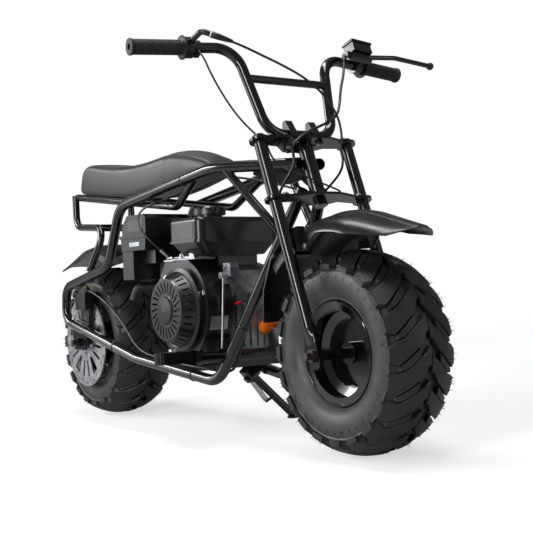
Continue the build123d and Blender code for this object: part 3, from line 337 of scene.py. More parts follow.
# Tyres: a smooth carcass, chevron lugs with rounded edges, and moulding hairs.
# Half a carcass section, as radius and y, from the bead to the middle of the tread
CARCASS = [
    (104.0, 56.5), (106.0, 60.5), (108.5, 62.5), (110.0, 61.8), (116.0, 67.5), (124.0, 71.8),
    (134.0, 74.6), (146.0, 75.4), (156.0, 74.0), (162.0, 71.8), (164.0, 73.2), (166.5, 73.2),
    (168.0, 69.0), (172.0, 65.5), (177.0, 60.0), (182.5, 51.0), (187.0, 40.0), (190.0, 28.0),
    (192.0, 15.0), (193.0, 0.0),
]
CARCASS_BORE = [(104.0, -30.0), (104.0, 30.0)]
CARCASS_SEGMENTS = 144
# The tread starts at this point of the section; inside this radius is the sidewall
TREAD_START = 11
TREAD_EDGE_RADIUS = 167.0
SIDEWALL_RADIUS = 166.8

LUG_COUNT = 20
# The two halves of the tread, and how far each is turned, in shares of a lug's pitch
TREAD_HALVES = ((-1, 0.0), (1, 0.2))
# A lug's slant and rounding along the tread, its root in the carcass and its least height
LUG_SLANT = 1.0
LUG_ROUND = 0.8
LUG_ROOT = 1.5
LUG_LEAST = 3.0
# Across the tread, the leading and trailing edges of a main lug along it, then
# those of the lower tie bar that fills the groove between two main lugs
LUG_EDGES = [
    (1.3, -17, 17), (4, -14, 18), (8, -8, 20), (14, -4, 31), (20, 0, 40), (28, 7, 47), (36, 14, 54),
    (44, 21, 61), (52, 28, 68), (60, 31, 75), (66, 33, 81), (72, 39, 78), (76, 40, 76), (80, 41, 75.5),
]
TIE_EDGES = [
    (24, -15, 1), (30, -10, 6.5), (36, -5, 11.5), (44, 2.5, 18.5), (52, 9.5, 25), (58, 15, 27),
    (62, 19, 28),
]
TIE_SUNK = 1.2

# The lugs' tops lie on an arc that falls by SHOULDER_DROP at SHOULDER_Y
SHOULDER_Y = 80.0
SHOULDER_DROP = 26.5
CROWN_ARC = SHOULDER_Y ** 2 / (2 * SHOULDER_DROP) + SHOULDER_DROP / 2


def crown(y):
    """Radius of the lugs' tops at a distance from the middle."""
    return TYRE_RADIUS - (CROWN_ARC - math.sqrt(CROWN_ARC ** 2 - y ** 2))


def carcass_radius(y):
    """Radius of the carcass under the tread at a distance from the middle."""
    tread = CARCASS[TREAD_START:]
    for (r0, y0), (r1, y1) in zip(tread, tread[1:]):
        if y1 <= y <= y0:
            return r1 + (r0 - r1) * (y - y1) / (y0 - y1)
    return TREAD_EDGE_RADIUS


def wrapped(s, y, r):
    """A point laid round the tread: s along it, y across it, r from the axle."""
    a = s / TYRE_RADIUS
    return Vector((r * math.sin(a), y, r * math.cos(a)))


def add_lug(bm, turn, hand, edges, sunk):
    """One block of the tread, as rings across it from the middle to the shoulder."""
    rings = []
    for y, s0, s1 in edges:
        top = crown(y) - sunk
        foot = min(carcass_radius(y) - LUG_ROOT, top - LUG_LEAST)
        section = [
            (s0 - LUG_SLANT, foot),
            (s0, top - LUG_ROUND),
            (s0 + LUG_ROUND, top),
            ((s0 + s1) / 2, top),
            (s1 - LUG_ROUND, top),
            (s1, top - LUG_ROUND),
            (s1 + LUG_SLANT, foot),
        ]
        rings.append([bm.verts.new(turn @ wrapped(s, hand * y, r)) for s, r in section])
    loft(bm, rings)


HAIR_RADIUS = 0.85
HAIR_LENGTHS = (8.0, 13.0)
HAIR_ROOT = 1.5
HAIR_SCATTER = 0.35
# The share of hairs that the tyre has kept, and how near to the ground they end
HAIR_SHARE = 0.7
HAIR_FLOOR = -TYRE_RADIUS * 0.94
# Where hairs stand on each lug: across, along, and how far they lean outwards
HAIRS = [
    (79, 43, 0.8), (79, 51, 0.7), (79, 59, 0.8), (79, 67, 0.7), (79, 74, 0.8), (73, 52, 0.5),
    (73, 70, 0.5), (58, 40, 0.35), (54, 62, 0.3), (36, 22, 0.2), (38, 48, 0.2), (20, 8, 0.1),
    (18, 34, 0.1), (5, 0, 0.05),
]
SIDE_HAIR_COUNT = 48
SIDE_HAIR_RADII = (128.0, 141.0, 152.0, 160.0)
SIDE_HAIR_Y = 74.5
SIDE_HAIR_LENGTH = 3.0
SIDE_HAIR_SCATTER = 0.5

# Short ribs on the sidewall: radius and y of their two ends, half their width, the
# share of it that is left on top, and how deep they root
SIDE_RIB_COUNT = 40
SIDE_RIB_ENDS = ((148, 75.9), (156, 74.6))
SIDE_RIB_HALF = 0.7
SIDE_RIB_TOP = 0.6
SIDE_RIB_ROOT = 1.5


def add_hair(bm, root, direction, length):
    """A thin three-sided rubber hair, tapered to its tip."""
    across = direction.orthogonal().normalized()
    other = direction.cross(across)
    ring = []
    for n in range(3):
        a = 2 * math.pi * n / 3
        ring.append(bm.verts.new(root + (across * math.cos(a) + other * math.sin(a)) * HAIR_RADIUS))
    tip = bm.verts.new(root + direction * length)
    for n in range(3):
        bm.faces.new((ring[n], ring[(n + 1) % 3], tip))


def add_tread(bm, rng):
    """Lugs and tie bars all round, with hairs on them."""
    pitch = 2 * math.pi / LUG_COUNT
    for hand, phase in TREAD_HALVES:
        for n in range(LUG_COUNT):
            turn = Matrix.Rotation((n + phase) * pitch, 3, "Y")
            add_lug(bm, turn, hand, LUG_EDGES, 0.0)
            add_lug(bm, turn, hand, TIE_EDGES, TIE_SUNK)
            for y, s, out in HAIRS:
                place = wrapped(s, hand * y, crown(y) - HAIR_ROOT)
                direction = Vector((place.x, 0, place.z)).normalized() * (1 - out)
                direction += Vector((0, hand * out, 0))
                direction += Vector([rng.uniform(-HAIR_SCATTER, HAIR_SCATTER) for _ in range(3)])
                root, direction = turn @ place, (turn @ direction).normalized()
                long = rng.uniform(*HAIR_LENGTHS)
                if (root + direction * long).z > HAIR_FLOOR and rng.random() < HAIR_SHARE:
                    add_hair(bm, root, direction, long)


def add_side_hairs(bm, rng):
    """Short hairs on both sidewalls."""
    for n in range(SIDE_HAIR_COUNT):
        a = 2 * math.pi * (n + rng.uniform(-0.2, 0.2)) / SIDE_HAIR_COUNT
        for hand in (-1, 1):
            r = rng.choice(SIDE_HAIR_RADII)
            root = Vector((r * math.sin(a), hand * SIDE_HAIR_Y, r * math.cos(a)))
            x = rng.uniform(-SIDE_HAIR_SCATTER, SIDE_HAIR_SCATTER)
            z = rng.uniform(-SIDE_HAIR_SCATTER, SIDE_HAIR_SCATTER)
            add_hair(bm, root, Vector((x, hand, z)).normalized(), SIDE_HAIR_LENGTH)


def add_side_ribs(bm):
    """Short ribs moulded round both sidewalls, as low four-sided blocks."""
    (r0, y0), (r1, y1) = SIDE_RIB_ENDS
    half = SIDE_RIB_HALF
    corners = ((r0, y0, -half), (r0, y0, half), (r1, y1, half), (r1, y1, -half))
    for n in range(SIDE_RIB_COUNT):
        turn = Matrix.Rotation(2 * math.pi * n / SIDE_RIB_COUNT, 3, "Y")
        for hand in (-1, 1):
            low = [turn @ Vector((w, hand * (y - SIDE_RIB_ROOT), r)) for r, y, w in corners]
            top = [turn @ Vector((w * SIDE_RIB_TOP, hand * y, r)) for r, y, w in corners]
            loft(bm, [[bm.verts.new(point) for point in ring] for ring in (low, top)])


def tyre(name, node, body, matrix, seed):
    bm = bmesh.new()
    other_half = [(r, -y) for r, y in reversed(CARCASS)][1:]
    spin(bm, CARCASS + other_half + CARCASS_BORE, CARCASS_SEGMENTS)
    # Sidewall faces take the paler rubber, whose lighter tone is painted light
    for face in bm.faces:
        middle = face.calc_center_median()
        on_side = math.hypot(middle.x, middle.z) < SIDEWALL_RADIUS
        face.material_index = 1 if on_side else 0
    rng = random.Random(seed)
    add_tread(bm, rng)
    add_side_hairs(bm, rng)
    add_side_ribs(bm)
    obj = sharpen(object_from(name, bm), 38)
    face_materials = [polygon.material_index for polygon in obj.data.polygons]
    finish_piece(obj, "tyre_rubber", body, matrix)
    # Second slot: the paler sidewall rubber, painted light
    obj.data.materials.append(MATERIALS["painted_light_sidewall"])
    obj.data.polygons.foreach_set("material_index", face_materials)
    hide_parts(node)


tyre("front_tyre_moulded", "front_tyre", "front_wheel", FRONT_WHEEL, 11)
tyre("rear_tyre_moulded", "rear_tyre", "rear_wheel", REAR_WHEEL, 23)


# Seat: foam over a pan, in leathercloth. Each row: x, half width, underside,
# crown height, shoulder radius and how far the crown falls to the shoulder
SEAT_ROWS = [
    (-28, 80, 613, 625, 4, 1), (-22, 83, 612, 641, 7, 1), (-15, 84.5, 611, 657, 9, 2),
    (-8, 86, 610.5, 671, 11, 3), (1, 87, 609, 683, 13, 3), (14, 88, 607.5, 690, 15, 3),
    (40, 88, 604, 691.5, 17, 3), (70, 88, 600.5, 688, 18, 3), (100, 87.4, 597, 682, 18, 3),
    (160, 86, 589.5, 673, 18, 3.5), (220, 84, 582, 668.5, 18, 5), (280, 81.5, 580.5, 669, 19, 8),
    (340, 78, 584.5, 674, 20, 11), (395, 73.5, 589.5, 680, 20, 12), (426, 71, 592.5, 683, 20, 12),
    (432, 68.8, 593, 679.6, 20, 12), (438, 69.2, 594, 682, 20, 12), (474, 65.5, 597.5, 678, 20, 11),
    (520, 58.5, 603, 669, 20, 9), (556, 52, 607.5, 657, 18, 7), (582, 46, 610.5, 644, 13, 4),
    (600, 39, 613, 630, 7, 2),
]
# Height of the cover's rounded lower edge, and how far its sides swell out
SEAT_HEM = 9.0
SEAT_SWELL = 1.6


def seat_ring(half, low, top, shoulder, fall):
    """Half a section of the seat, from the middle of its underside up to the crown."""
    third = SEAT_HEM / 3
    edge, eave = half - shoulder, top - fall - shoulder
    points = [
        (0, low),
        (half * 0.55, low),
        (half - SEAT_HEM, low + 0.5),
        (half - third, low + third),
        (half, low + SEAT_HEM),
        (half + SEAT_SWELL, (low + SEAT_HEM + eave) / 2),
    ]
    for n in range(7):
        a = math.radians(15 * n)
        points.append((edge + shoulder * math.cos(a), eave + shoulder * math.sin(a)))
    points += [(edge * 0.66, top - fall * 0.44), (edge * 0.33, top - fall * 0.11), (0, top)]
    return points


def seat():
    bm = bmesh.new()
    rings = []
    for x, half, low, top, shoulder, fall in SEAT_ROWS:
        right = [(x, -y, z) for y, z in seat_ring(half, low, top, shoulder, fall)]
        left = [(x, -y, z) for x, y, z in reversed(right)][1:-1]
        rings.append([bm.verts.new(point) for point in right + left])
    loft(bm, rings)
    obj = object_from("seat_cover", bm)
    smooth = obj.modifiers.new("smooth", "SUBSURF")
    smooth.levels = smooth.render_levels = 2
    finish_piece(obj, "seat_vinyl", "frame")
    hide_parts("seat")


seat()


# Cables
def swept(name, kind, points, radius, roundness, capped):
    """A mesh wire along points: POLY goes straight between them, NURBS smoothly past them."""
    curve = bpy.data.curves.new(name, "CURVE")
    curve.dimensions = "3D"
    spline = curve.splines.new(kind)
    spline.points.add(len(points) - 1)
    for point, place in zip(spline.points, points):
        point.co = (*place, 1.0)
    spline.order_u = 3
    spline.use_endpoint_u = True
    spline.resolution_u = 10
    curve.bevel_depth = radius
    curve.bevel_resolution = roundness
    curve.use_fill_caps = capped
    line = bpy.data.objects.new(name + "_line", curve)
    mesh = bpy.data.meshes.new_from_object(line)
    bpy.data.objects.remove(line)
    for polygon in mesh.polygons:
        polygon.use_smooth = True
    obj = bpy.data.objects.new(name, mesh)
    bpy.context.scene.collection.objects.link(obj)
    return obj


def cable(name, nodes, diameter, on_bars, in_frame):
    """One smooth line from the bars to its fitting: its first points lie in the steering frame, the rest on
    the upright machine.
    """
    points = [UPRIGHT @ (STEERING @ Vector(point)) for point in on_bars]
    points += [UPRIGHT @ Vector(point) for point in in_frame]
    obj = swept(name, "NURBS", points, diameter / 2 * MM, 4, True)
    obj.data.materials.append(MATERIALS["black_plastic"])
    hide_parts(*nodes)
    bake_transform(obj)


# Name, nodes that it stands for and diameter, then its points from the bars down:
# those in the steering frame, then those on the upright machine
cable(
    "throttle_cable_sleeve", ("throttle_cable_bars", "throttle_cable"), 5.0,
    [
        (62, -212, 668), (80, -172, 642), (84, -118, 616), (80, -64, 598), (74, -12, 578),
        (70, 30, 544), (62, 58, 502), (50, 66, 462), (38, 62, 436), (37, 61, 424), (36, 61, 408),
        (24, 62, 394), (4, 62, 386), (-18, 60, 380), (-38, 53, 371),
    ],
    [
        (880, 42, 536), (852, 20, 546), (812, -12, 562), (766, -44, 576), (712, -64, 586),
        (656, -66, 584), (600, -62, 578), (548, -60, 572), (498, -68, 566), (462, -86, 558),
        (446, -116, 546), (448, -150, 530), (462, -166, 502), (484, -162, 472), (502, -144, 446),
        (508, -128, 430),
    ],
)
cable(
    "kill_switch_wire", ("kill_wire_bars", "kill_wire"), 4.0,
    [
        (3, -210.5, 668), (20, -213, 645), (22, -208, 606), (2, -176, 566), (-18, -138, 530),
        (-26, -104, 500), (-22, -82, 476), (-21, -79, 457), (-20, -77, 438), (-12, -70, 416),
        (4, -54, 394), (19, -30, 374), (24, 0, 358), (19, 32, 350), (8, 56, 349), (-14, 68, 352),
        (-42, 60, 350),
    ],
    [
        (884, 54, 500), (866, 30, 468), (846, 18, 430), (826, 12, 392), (804, 4, 352), (778, -14, 322),
        (748, -34, 312), (722, -48, 308), (700, -55, 302),
    ],
)
cable(
    "brake_hose_line", ("brake_hose_bars", "brake_hose"), 6.0,
    [
        (27, 155, 664), (30, 142, 632), (28, 120, 590), (30, 102, 548), (36, 80, 516), (40, 44, 494),
        (40, 4, 478), (38, -34, 460), (30, -58, 440), (29, -60, 422), (28, -61, 404), (14, -64, 389),
        (-10, -67, 379), (-36, -68, 367), (-60, -63, 353),
    ],
    [
        (870, -50, 488), (862, -33, 462), (851, -25, 430), (830, -33, 396), (804, -42, 354),
        (777, -50, 308), (754, -54, 262), (738, -57, 226), (724, -61, 194), (716, -64, 168),
        (700, -67, 153), (676, -74, 150), (640, -88, 156), (594, -100, 160), (546, -105, 164),
        (496, -111, 170.5), (444, -116, 178), (392, -121, 186), (342, -121, 205), (298, -119, 240),
        (248, -118, 276), (192, -118, 306), (136, -118, 328), (92, -118, 340), (66, -117, 345),
    ],
)


# Small pieces
def frame_matrix(place, direction):
    """Local Z along a direction, from a place."""
    direction = Vector(direction).normalized()
    return Matrix.Translation(place) @ direction.to_track_quat("Z", "Y").to_matrix().to_4x4()


def lathe(name, outline, place, direction, slot, body, segments, outer=PLAIN):
    """Turn an outline of (radius, height) pairs about a direction."""
    bm = bmesh.new()
    spin(bm, outline, segments)
    obj = sharpen(object_from(name, bm), 30)
    finish_piece(obj, slot, body, outer @ frame_matrix(place, direction) @ TO_Z)


def bolt(name, place, direction, across_flats, slot, body, outer=PLAIN):
    """A hex head with a chamfered top, on a washer."""
    bm = bmesh.new()
    radius = across_flats / math.sqrt(3)
    rings = []
    for r, z in ((radius, 0.0), (radius, 0.32 * across_flats), (radius * 0.82, 0.42 * across_flats)):
        corners = [math.radians(60 * n) for n in range(6)]
        rings.append([bm.verts.new((r * math.cos(a), r * math.sin(a), z)) for a in corners])
    loft(bm, rings)
    obj = object_from(name, bm, smooth=False)
    finish_piece(obj, slot, body, outer @ frame_matrix(place, direction))
    rim = across_flats * 0.72
    disc = [(0.1, 0.0), (rim, 0.0), (rim, 0.9), (0.1, 0.9)]
    lathe(name + "_washer", disc, place, direction, slot, body, 24, outer)


# Rolled bead lips of the rims
RIM_LIP = [(98.8, -0.4), (99.4, 1.2), (100.6, 2.2), (102.0, 2.2), (103.2, 1.2), (103.6, -0.4)]
RIM_FACE_Y = 59.6
for end, wheel in (("front", FRONT_WHEEL), ("rear", REAR_WHEEL)):
    for side, hand in (("right", -1), ("left", 1)):
        place = wheel @ Vector((0, hand * RIM_FACE_Y, 0))
        lathe(f"{end}_rim_lip_{side}", RIM_LIP, place, (0, hand, 0), "rim_paint", f"{end}_wheel", 96)


# Front fender: a crowned sheet with a raised middle band and a rounded front edge.
# Half a section across it and half the tip's, as radius from the axle and y
FENDER_SIDE = [
    (281, 0), (280.7, 8), (280, 15), (277.6, 18.5), (275.6, 22), (273.6, 36), (270, 50), (264.6, 64),
    (258, 74), (250, 81), (244, 84.2), (238, 86),
]
FENDER_TIP = [
    (279.6, 0), (279.3, 7), (278.8, 11), (277, 14), (275.3, 17), (271.6, 28), (268, 37), (264.4, 44),
    (261, 50), (258, 55), (256, 58), (254.5, 60),
]
FENDER_REACH = [126, 126, 125, 124, 123, 119, 113, 107, 102, 97, 94, 92]
# Degrees about the axle, level ahead being 0: the back edge, and where the tip starts
FENDER_BACK, FENDER_FRONT, FENDER_STEP = 135, 75, 3
FENDER_TIP_STEPS = 8
FENDER_SHEET = 3.0
# How far the skirt reaches down at its back, and at its tab over the fork tube
SKIRT_BACK, SKIRT_BACK_FROM = 12, 112
SKIRT_TAB, TAB_ANGLE, TAB_HALF = 25, 104, 6.5

# Outlines of the mud flap behind the sheet, its ribs and the fork lugs, as x and z
FLAP = [
    (836, 262), (840, 330), (872, 400), (882, 407), (886, 403), (875.5, 396), (843.5, 329), (839.5, 262),
]
FLAP_HALF = 72
FLAP_RIB = [(833, 262), (841, 262), (841, 286), (835, 286)]
FLAP_RIB_HALF = 3.4
FORK_LUG = [(976, 410), (1008, 410), (1008, 456), (978, 450)]
FORK_LUG_Y = (82, 100.4)


def fender_place(angle, radius, y, along=0.0):
    """A point at an angle about the axle, then straight ahead along the sheet."""
    a = math.radians(angle)
    outward = Vector((math.cos(a), 0, math.sin(a)))
    ahead = Vector((math.sin(a), 0, -math.cos(a)))
    return Vector((0, y, 0)) + outward * radius + ahead * along


def fender_rows():
    """Rows of points across half the sheet, from its back edge to its tip."""
    rows = []
    edge_radius, edge_y = FENDER_SIDE[-1]
    for angle in range(FENDER_BACK, FENDER_FRONT - 1, -FENDER_STEP):
        drop = SKIRT_BACK
        if angle < SKIRT_BACK_FROM:
            drop = SKIRT_TAB * max(0.0, 1 - ((angle - TAB_ANGLE) / TAB_HALF) ** 2)
        row = [fender_place(angle, r, y) for r, y in FENDER_SIDE]
        row[-1] = fender_place(angle, edge_radius - drop, edge_y + 1)
        rows.append(row)
    for step in range(1, FENDER_TIP_STEPS + 1):
        part = step / FENDER_TIP_STEPS
        row = []
        for (r0, y0), (r1, y1), reach in zip(FENDER_SIDE, FENDER_TIP, FENDER_REACH):
            radius, y = r0 + (r1 - r0) * part, y0 + (y1 - y0) * part
            row.append(fender_place(FENDER_FRONT, radius, y, reach * part))
        rows.append(row)
    return rows


def front_fender():
    bm = bmesh.new()
    sheet = []
    for row in fender_rows():
        whole = [Vector((v.x, -v.y, v.z)) for v in reversed(row)][:-1] + row
        sheet.append([bm.verts.new(FRONT_WHEEL @ v) for v in whole])
    for here, there in zip(sheet, sheet[1:]):
        for k in range(len(here) - 1):
            bm.faces.new((here[k], here[k + 1], there[k + 1], there[k]))
    obj = object_from("front_fender_shell", bm)
    shell = obj.modifiers.new("sheet", "SOLIDIFY")
    shell.thickness = FENDER_SHEET * MM
    shell.offset = -1
    edge = obj.modifiers.new("edge", "BEVEL")
    edge.width, edge.segments, edge.limit_method = 0.8 * MM, 2, "ANGLE"
    finish_piece(sharpen(obj, 40), "fender_plastic", "steering")
    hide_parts("front_fender")


def fender_flap():
    """The mud flap with its ribs, and the lugs that the fork tubes hold."""
    bm = bmesh.new()
    prism(bm, FLAP, -FLAP_HALF, FLAP_HALF)
    for y in range(-66, 67, 11):
        prism(bm, FLAP_RIB, y - FLAP_RIB_HALF, y + FLAP_RIB_HALF)
    for hand in (-1, 1):
        near, far = sorted(hand * y for y in FORK_LUG_Y)
        prism(bm, FORK_LUG, near, far)
    flap = object_from("front_fender_flap", bm, smooth=False)
    finish_piece(flap, "fender_plastic", "steering")
    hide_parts("front_fender")


front_fender()
fender_flap()


# Grips: ribbed rubber with an inner flange and a pierced end disc
GRIP_LENGTH = 119.0
GRIP_BORE = 11.2
GRIP_RIBS, GRIP_RIB_START, GRIP_RIB_PITCH = 17, 7.0, 6.2
GRIP_FLANGE = [(GRIP_BORE, 0), (24.6, 0), (25, 1), (25, 3.2), (23, 4.2), (16.4, 5.2)]
# The end disc, as radius and how far short of the grip's end
GRIP_END = [(17.2, 5), (17.6, 3), (17.6, 0.6), (17.0, 0), (6.5, 0), (6.5, 3), (GRIP_BORE, 3)]
BAR_TIP_OVERHANG = 2.0


def grip(name, hand):
    outline = list(GRIP_FLANGE)
    for n in range(GRIP_RIBS):
        y = GRIP_RIB_START + n * GRIP_RIB_PITCH
        outline += [(15.9, y), (15.9, y + 3.6), (14.7, y + 4.3), (14.7, y + 5.6)]
    outline += [(r, GRIP_LENGTH - short) for r, short in GRIP_END]
    inner, tip = Vector((3, 117 * hand, 683)), Vector((-23, 352 * hand, 677))
    along = (tip - inner).normalized()
    start = tip + along * (BAR_TIP_OVERHANG - GRIP_LENGTH)
    bm = bmesh.new()
    spin(bm, outline, 40)
    turn = along.to_track_quat("Y", "Z").to_matrix().to_4x4()
    obj = sharpen(object_from(name, bm), 35)
    finish_piece(obj, "grip_rubber", "steering", STEERING @ Matrix.Translation(start) @ turn)
    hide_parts("grips")


grip("grip_right", -1)
grip("grip_left", 1)


# Bolts and nuts: place, direction and width across flats. Those with STEERING
# have their place in the steering frame.
for n, (x, y) in enumerate(((-12, -30), (-12, 30), (12, -30), (12, 30))):
    bolt(f"clamp_nut_{n}", (x, y, 461.5), (0, 0, -1), 12, "zinc_steel", "steering", STEERING)
for n, hand in enumerate((-1, 1)):
    for clamp, z in (("clamp", 468.8), ("lower", 335.8)):
        place = (14, hand * 95, z)
        bolt(f"{clamp}_pinch_bolt_{n}", place, (0, 0, 1), 11, "zinc_steel", "steering", STEERING)
for n, hand in enumerate((-1, 1)):
    bolt(f"fender_bolt_{n}", (1016, hand * 88.5, 416), (0, hand, 0), 9, "zinc_steel", "steering")

# Fan shroud: its bolts, and raised rings on the recoil starter, whose radii and
# distances from the middle of the machine are listed
FAN_CENTRE = Vector((592.0, 0.0, 293.0))
SHROUD_BOLT_RADIUS, SHROUD_FACE_Y = 101, -126.2
for n, degrees in enumerate((22, 134, 246)):
    a = math.radians(degrees)
    place = Vector((SHROUD_BOLT_RADIUS * math.cos(a), SHROUD_FACE_Y, SHROUD_BOLT_RADIUS * math.sin(a)))
    bolt(f"shroud_bolt_{n}", FAN_CENTRE + place, (0, -1, 0), 11, "bright_chrome", "frame")
for n, (radius, out) in enumerate(((32.6, 169.6), (70.2, 168.6), (93.0, 135.4))):
    ring = [(radius - 1.2, 0), (radius - 0.6, 1.3), (radius + 0.6, 1.3), (radius + 1.2, 0)]
    place = FAN_CENTRE - Vector((0, out, 0))
    lathe(f"recoil_ring_{n}", ring, place, (0, -1, 0), "rim_paint", "frame", 72)


# Bare plates
PLATE_EDGE = 0.25


def plate(name, corners, slot, thick=0.6):
    """A bare plate laid on a face: its corners go round, seen from outside."""
    bm = bmesh.new()
    corners = [Vector(corner) for corner in corners]
    out = (corners[1] - corners[0]).cross(corners[2] - corners[1]).normalized() * thick
    top = [corner + out for corner in corners]
    loft(bm, [[bm.verts.new(point) for point in ring] for ring in (corners, top)])
    obj = object_from(name, bm, smooth=False)
    soft = obj.modifiers.new("edge", "BEVEL")
    soft.width, soft.segments = PLATE_EDGE * MM, 2
    finish_piece(obj, slot, "frame")


def upright_plate(name, y, corners, slot, thick=0.6):
    """A plate that faces right, with its corners as x and z."""
    plate(name, [(x, y, z) for x, z in corners], slot, thick)


upright_plate("tank_plate", -134, [(571, 452), (664, 452), (664, 486), (571, 486)], "shroud_paint")
upright_plate("air_cleaner_plate", -148, [(366, 482), (455, 482), (455, 509), (380, 509)], "shroud_paint")
upright_plate("air_cleaner_catch", -150, [(388, 446), (440, 446), (440, 456), (388, 456)], "zinc_steel", 1.2)


# The shroud plate's section, as radius and y, and its first angle, step and count
SHROUD_PLATE = ((112.8, -119), (113.5, -119), (113.5, -74), (112.8, -74))
SHROUD_PLATE_START, SHROUD_PLATE_STEP, SHROUD_PLATE_COUNT = -8, -2.0, 9


def shroud_plate():
    """A bare data plate bent round the fan shroud."""
    bm = bmesh.new()
    rings = []
    for n in range(SHROUD_PLATE_COUNT):
        a = math.radians(SHROUD_PLATE_START + SHROUD_PLATE_STEP * n)
        ring = [FAN_CENTRE + Vector((r * math.cos(a), y, r * math.sin(a))) for r, y in SHROUD_PLATE]
        rings.append([bm.verts.new(point) for point in ring])
    loft(bm, rings)
    finish_piece(sharpen(object_from("shroud_plate", bm)), "zinc_steel", "frame")


shroud_plate()


# Crimped band of the fuel cap
lathe(
    "fuel_cap_band", [(35.0, 0), (38.0, 0.6), (38.0, 9.4), (35.0, 10)], (604, -52, 508.2), (0, 0, 1),
    "chain_steel", "frame", 56,
)


COIL_STEPS = 20


def coil(name, start, end, radius, wire, turns, slot):
    """A close-wound spring between two points, not yet on any body."""
    start, end = Vector(start), Vector(end)
    along = end - start
    turn = along.to_track_quat("Z", "X").to_matrix()
    steps = turns * COIL_STEPS
    points = []
    for n in range(steps + 1):
        a = 2 * math.pi * n / COIL_STEPS
        offset = turn @ Vector((radius * math.cos(a), radius * math.sin(a), 0))
        points.append(start + along * n / steps + offset)
    obj = swept(name, "POLY", points, wire / 2, 3, False)
    finish_piece(obj, slot, None)
    return obj


def blocks(name, pieces, slot, body, round_mm=1.0):
    """Prisms across the machine with eased edges: outline, then two y values."""
    bm = bmesh.new()
    for outline, y0, y1 in pieces:
        prism(bm, outline, y0, y1)
    obj = object_from(name, bm, smooth=False)
    soft = obj.modifiers.new("edge", "BEVEL")
    soft.width, soft.segments, soft.limit_method = round_mm * MM, 2, "ANGLE"
    finish_piece(obj, slot, body)


# Throttle cable stop on the control plate, its ferrule and adjuster barrel
CABLE_STOP = [(498, 404), (545, 404), (545, 408.4), (498, 408.4)]
FERRULE = [(0.1, 0), (3.6, 0), (3.6, 20), (2.6, 24), (0.1, 24)]
BARREL = [(0.1, 0), (4.5, 0), (5.6, 2), (5.6, 12), (4.4, 13), (4.4, 30), (6.5, 31), (6.5, 36), (0.1, 36)]
LINK_ROD = [(0.1, 0), (1.8, 0), (1.8, 96), (0.1, 96)]
blocks("cable_stop", [(CABLE_STOP, -118, -103)], "zinc_steel", "frame")
lathe("cable_ferrule", FERRULE, (507, -131, 433), (6, 16, -16), "zinc_steel", "frame", 20)
lathe("adjuster_barrel", BARREL, (500, -111, 413), (1, 0, 0), "bright_chrome", "frame", 24)
lathe("link_rod", LINK_ROD, (536, -111, 413), (1, 0.06, -0.02), "zinc_steel", "frame", 12)
blocks("control_levers", [
    ([(560, 408), (574, 408), (570, 420), (564, 420)], -113, -109),
    ([(606, 408), (632, 408), (630, 417), (610, 421)], -114, -110),
], "zinc_steel", "frame", 0.6)

# Governor box, a screw on it, and the joint of the wire to the switch
GOVERNOR_BOX = [(697, 363), (726, 363), (728, 386), (722, 394), (697, 394)]
WIRE_JOINT = [(0.1, 0), (2.8, 0.6), (2.8, 21), (0.1, 22)]
blocks("governor_box", [(GOVERNOR_BOX, -80, -56)], "engine_alloy", "frame", 2.0)
bolt("governor_screw", (712, -80, 380), (0, -1, 0), 8, "bright_chrome", "frame")
lathe("wire_joint", WIRE_JOINT, (721, -48.5, 307.6), (-21, -6.5, -5.8), "red_sleeve", "frame", 16)

# Side stand spring, between the bracket and the peg on the leg
SPRING_TOP, SPRING_FOOT = (540, 88, 112), (553, 122, 60)
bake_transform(coil("stand_spring", SPRING_TOP, SPRING_FOOT, 6.0, 2.2, 18, "zinc_steel"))

# Tapered boot and white collar where the throttle cable leaves its elbow
BOOT_FOOT, BOOT_WAY = (61.5, -213, 668.6), (18, 40, -26)
BOOT = [(0.1, 0), (6.2, 0.4), (7.0, 2), (6.6, 18), (4.6, 40), (3.4, 47), (3.0, 48), (0.1, 48)]
COLLAR = [(5.0, 0), (7.6, 0.3), (7.6, 2.6), (5.0, 2.9)]
lathe("throttle_boot", BOOT, BOOT_FOOT, BOOT_WAY, "black_plastic", "steering", 28, STEERING)
lathe("throttle_collar", COLLAR, BOOT_FOOT, BOOT_WAY, "white_collar", "steering", 32, STEERING)

# Brass banjo bolt of the rear brake
bolt("caliper_banjo", (50, -112, 352.2), (0, 0, 1), 12, "brass_fitting", "frame")


# Weld beads where tubes meet. A bead's section: height over the tube, and along it
WELD_BEAD = [(-0.4, -3.2), (1.4, -1.6), (1.9, 0), (1.4, 1.6), (-0.4, 3.2)]
WELD_RIPPLE, WELD_RIPPLES = 0.035, 14
LOOP_TUBE = 12.7
# Runs of the left loop tube, and how far along each its bead lies
WELDS = [
    ((697, 98, 606), (261, 108, 556), 0.28),
    ((-50, 128, 262), (355, 124, 172), 0.72),
    ((355, 124, 172), (683, 92, 129), 0.72),
    ((683, 92, 129), (932, 24, 538), 0.30),
]


def weld(name, place, direction, tube_radius):
    bm = bmesh.new()
    spin(bm, [(tube_radius + height, y) for height, y in WELD_BEAD], 64)
    for vertex in bm.verts:
        a = math.atan2(vertex.co.x, vertex.co.z)
        ripple = 1 + WELD_RIPPLE * math.sin(WELD_RIPPLES * a)
        vertex.co.x, vertex.co.z = vertex.co.x * ripple, vertex.co.z * ripple
    finish_piece(object_from(name, bm), "frame_paint", "frame", frame_matrix(place, direction) @ TO_Z)


for n, (*run, part) in enumerate(WELDS):
    for side, hand in (("right", -1), ("left", 1)):
        first, last = (Vector((x, hand * y, z)) for x, y, z in run)
        weld(f"weld_{n}_{side}", first.lerp(last, part), last - first, LOOP_TUBE)


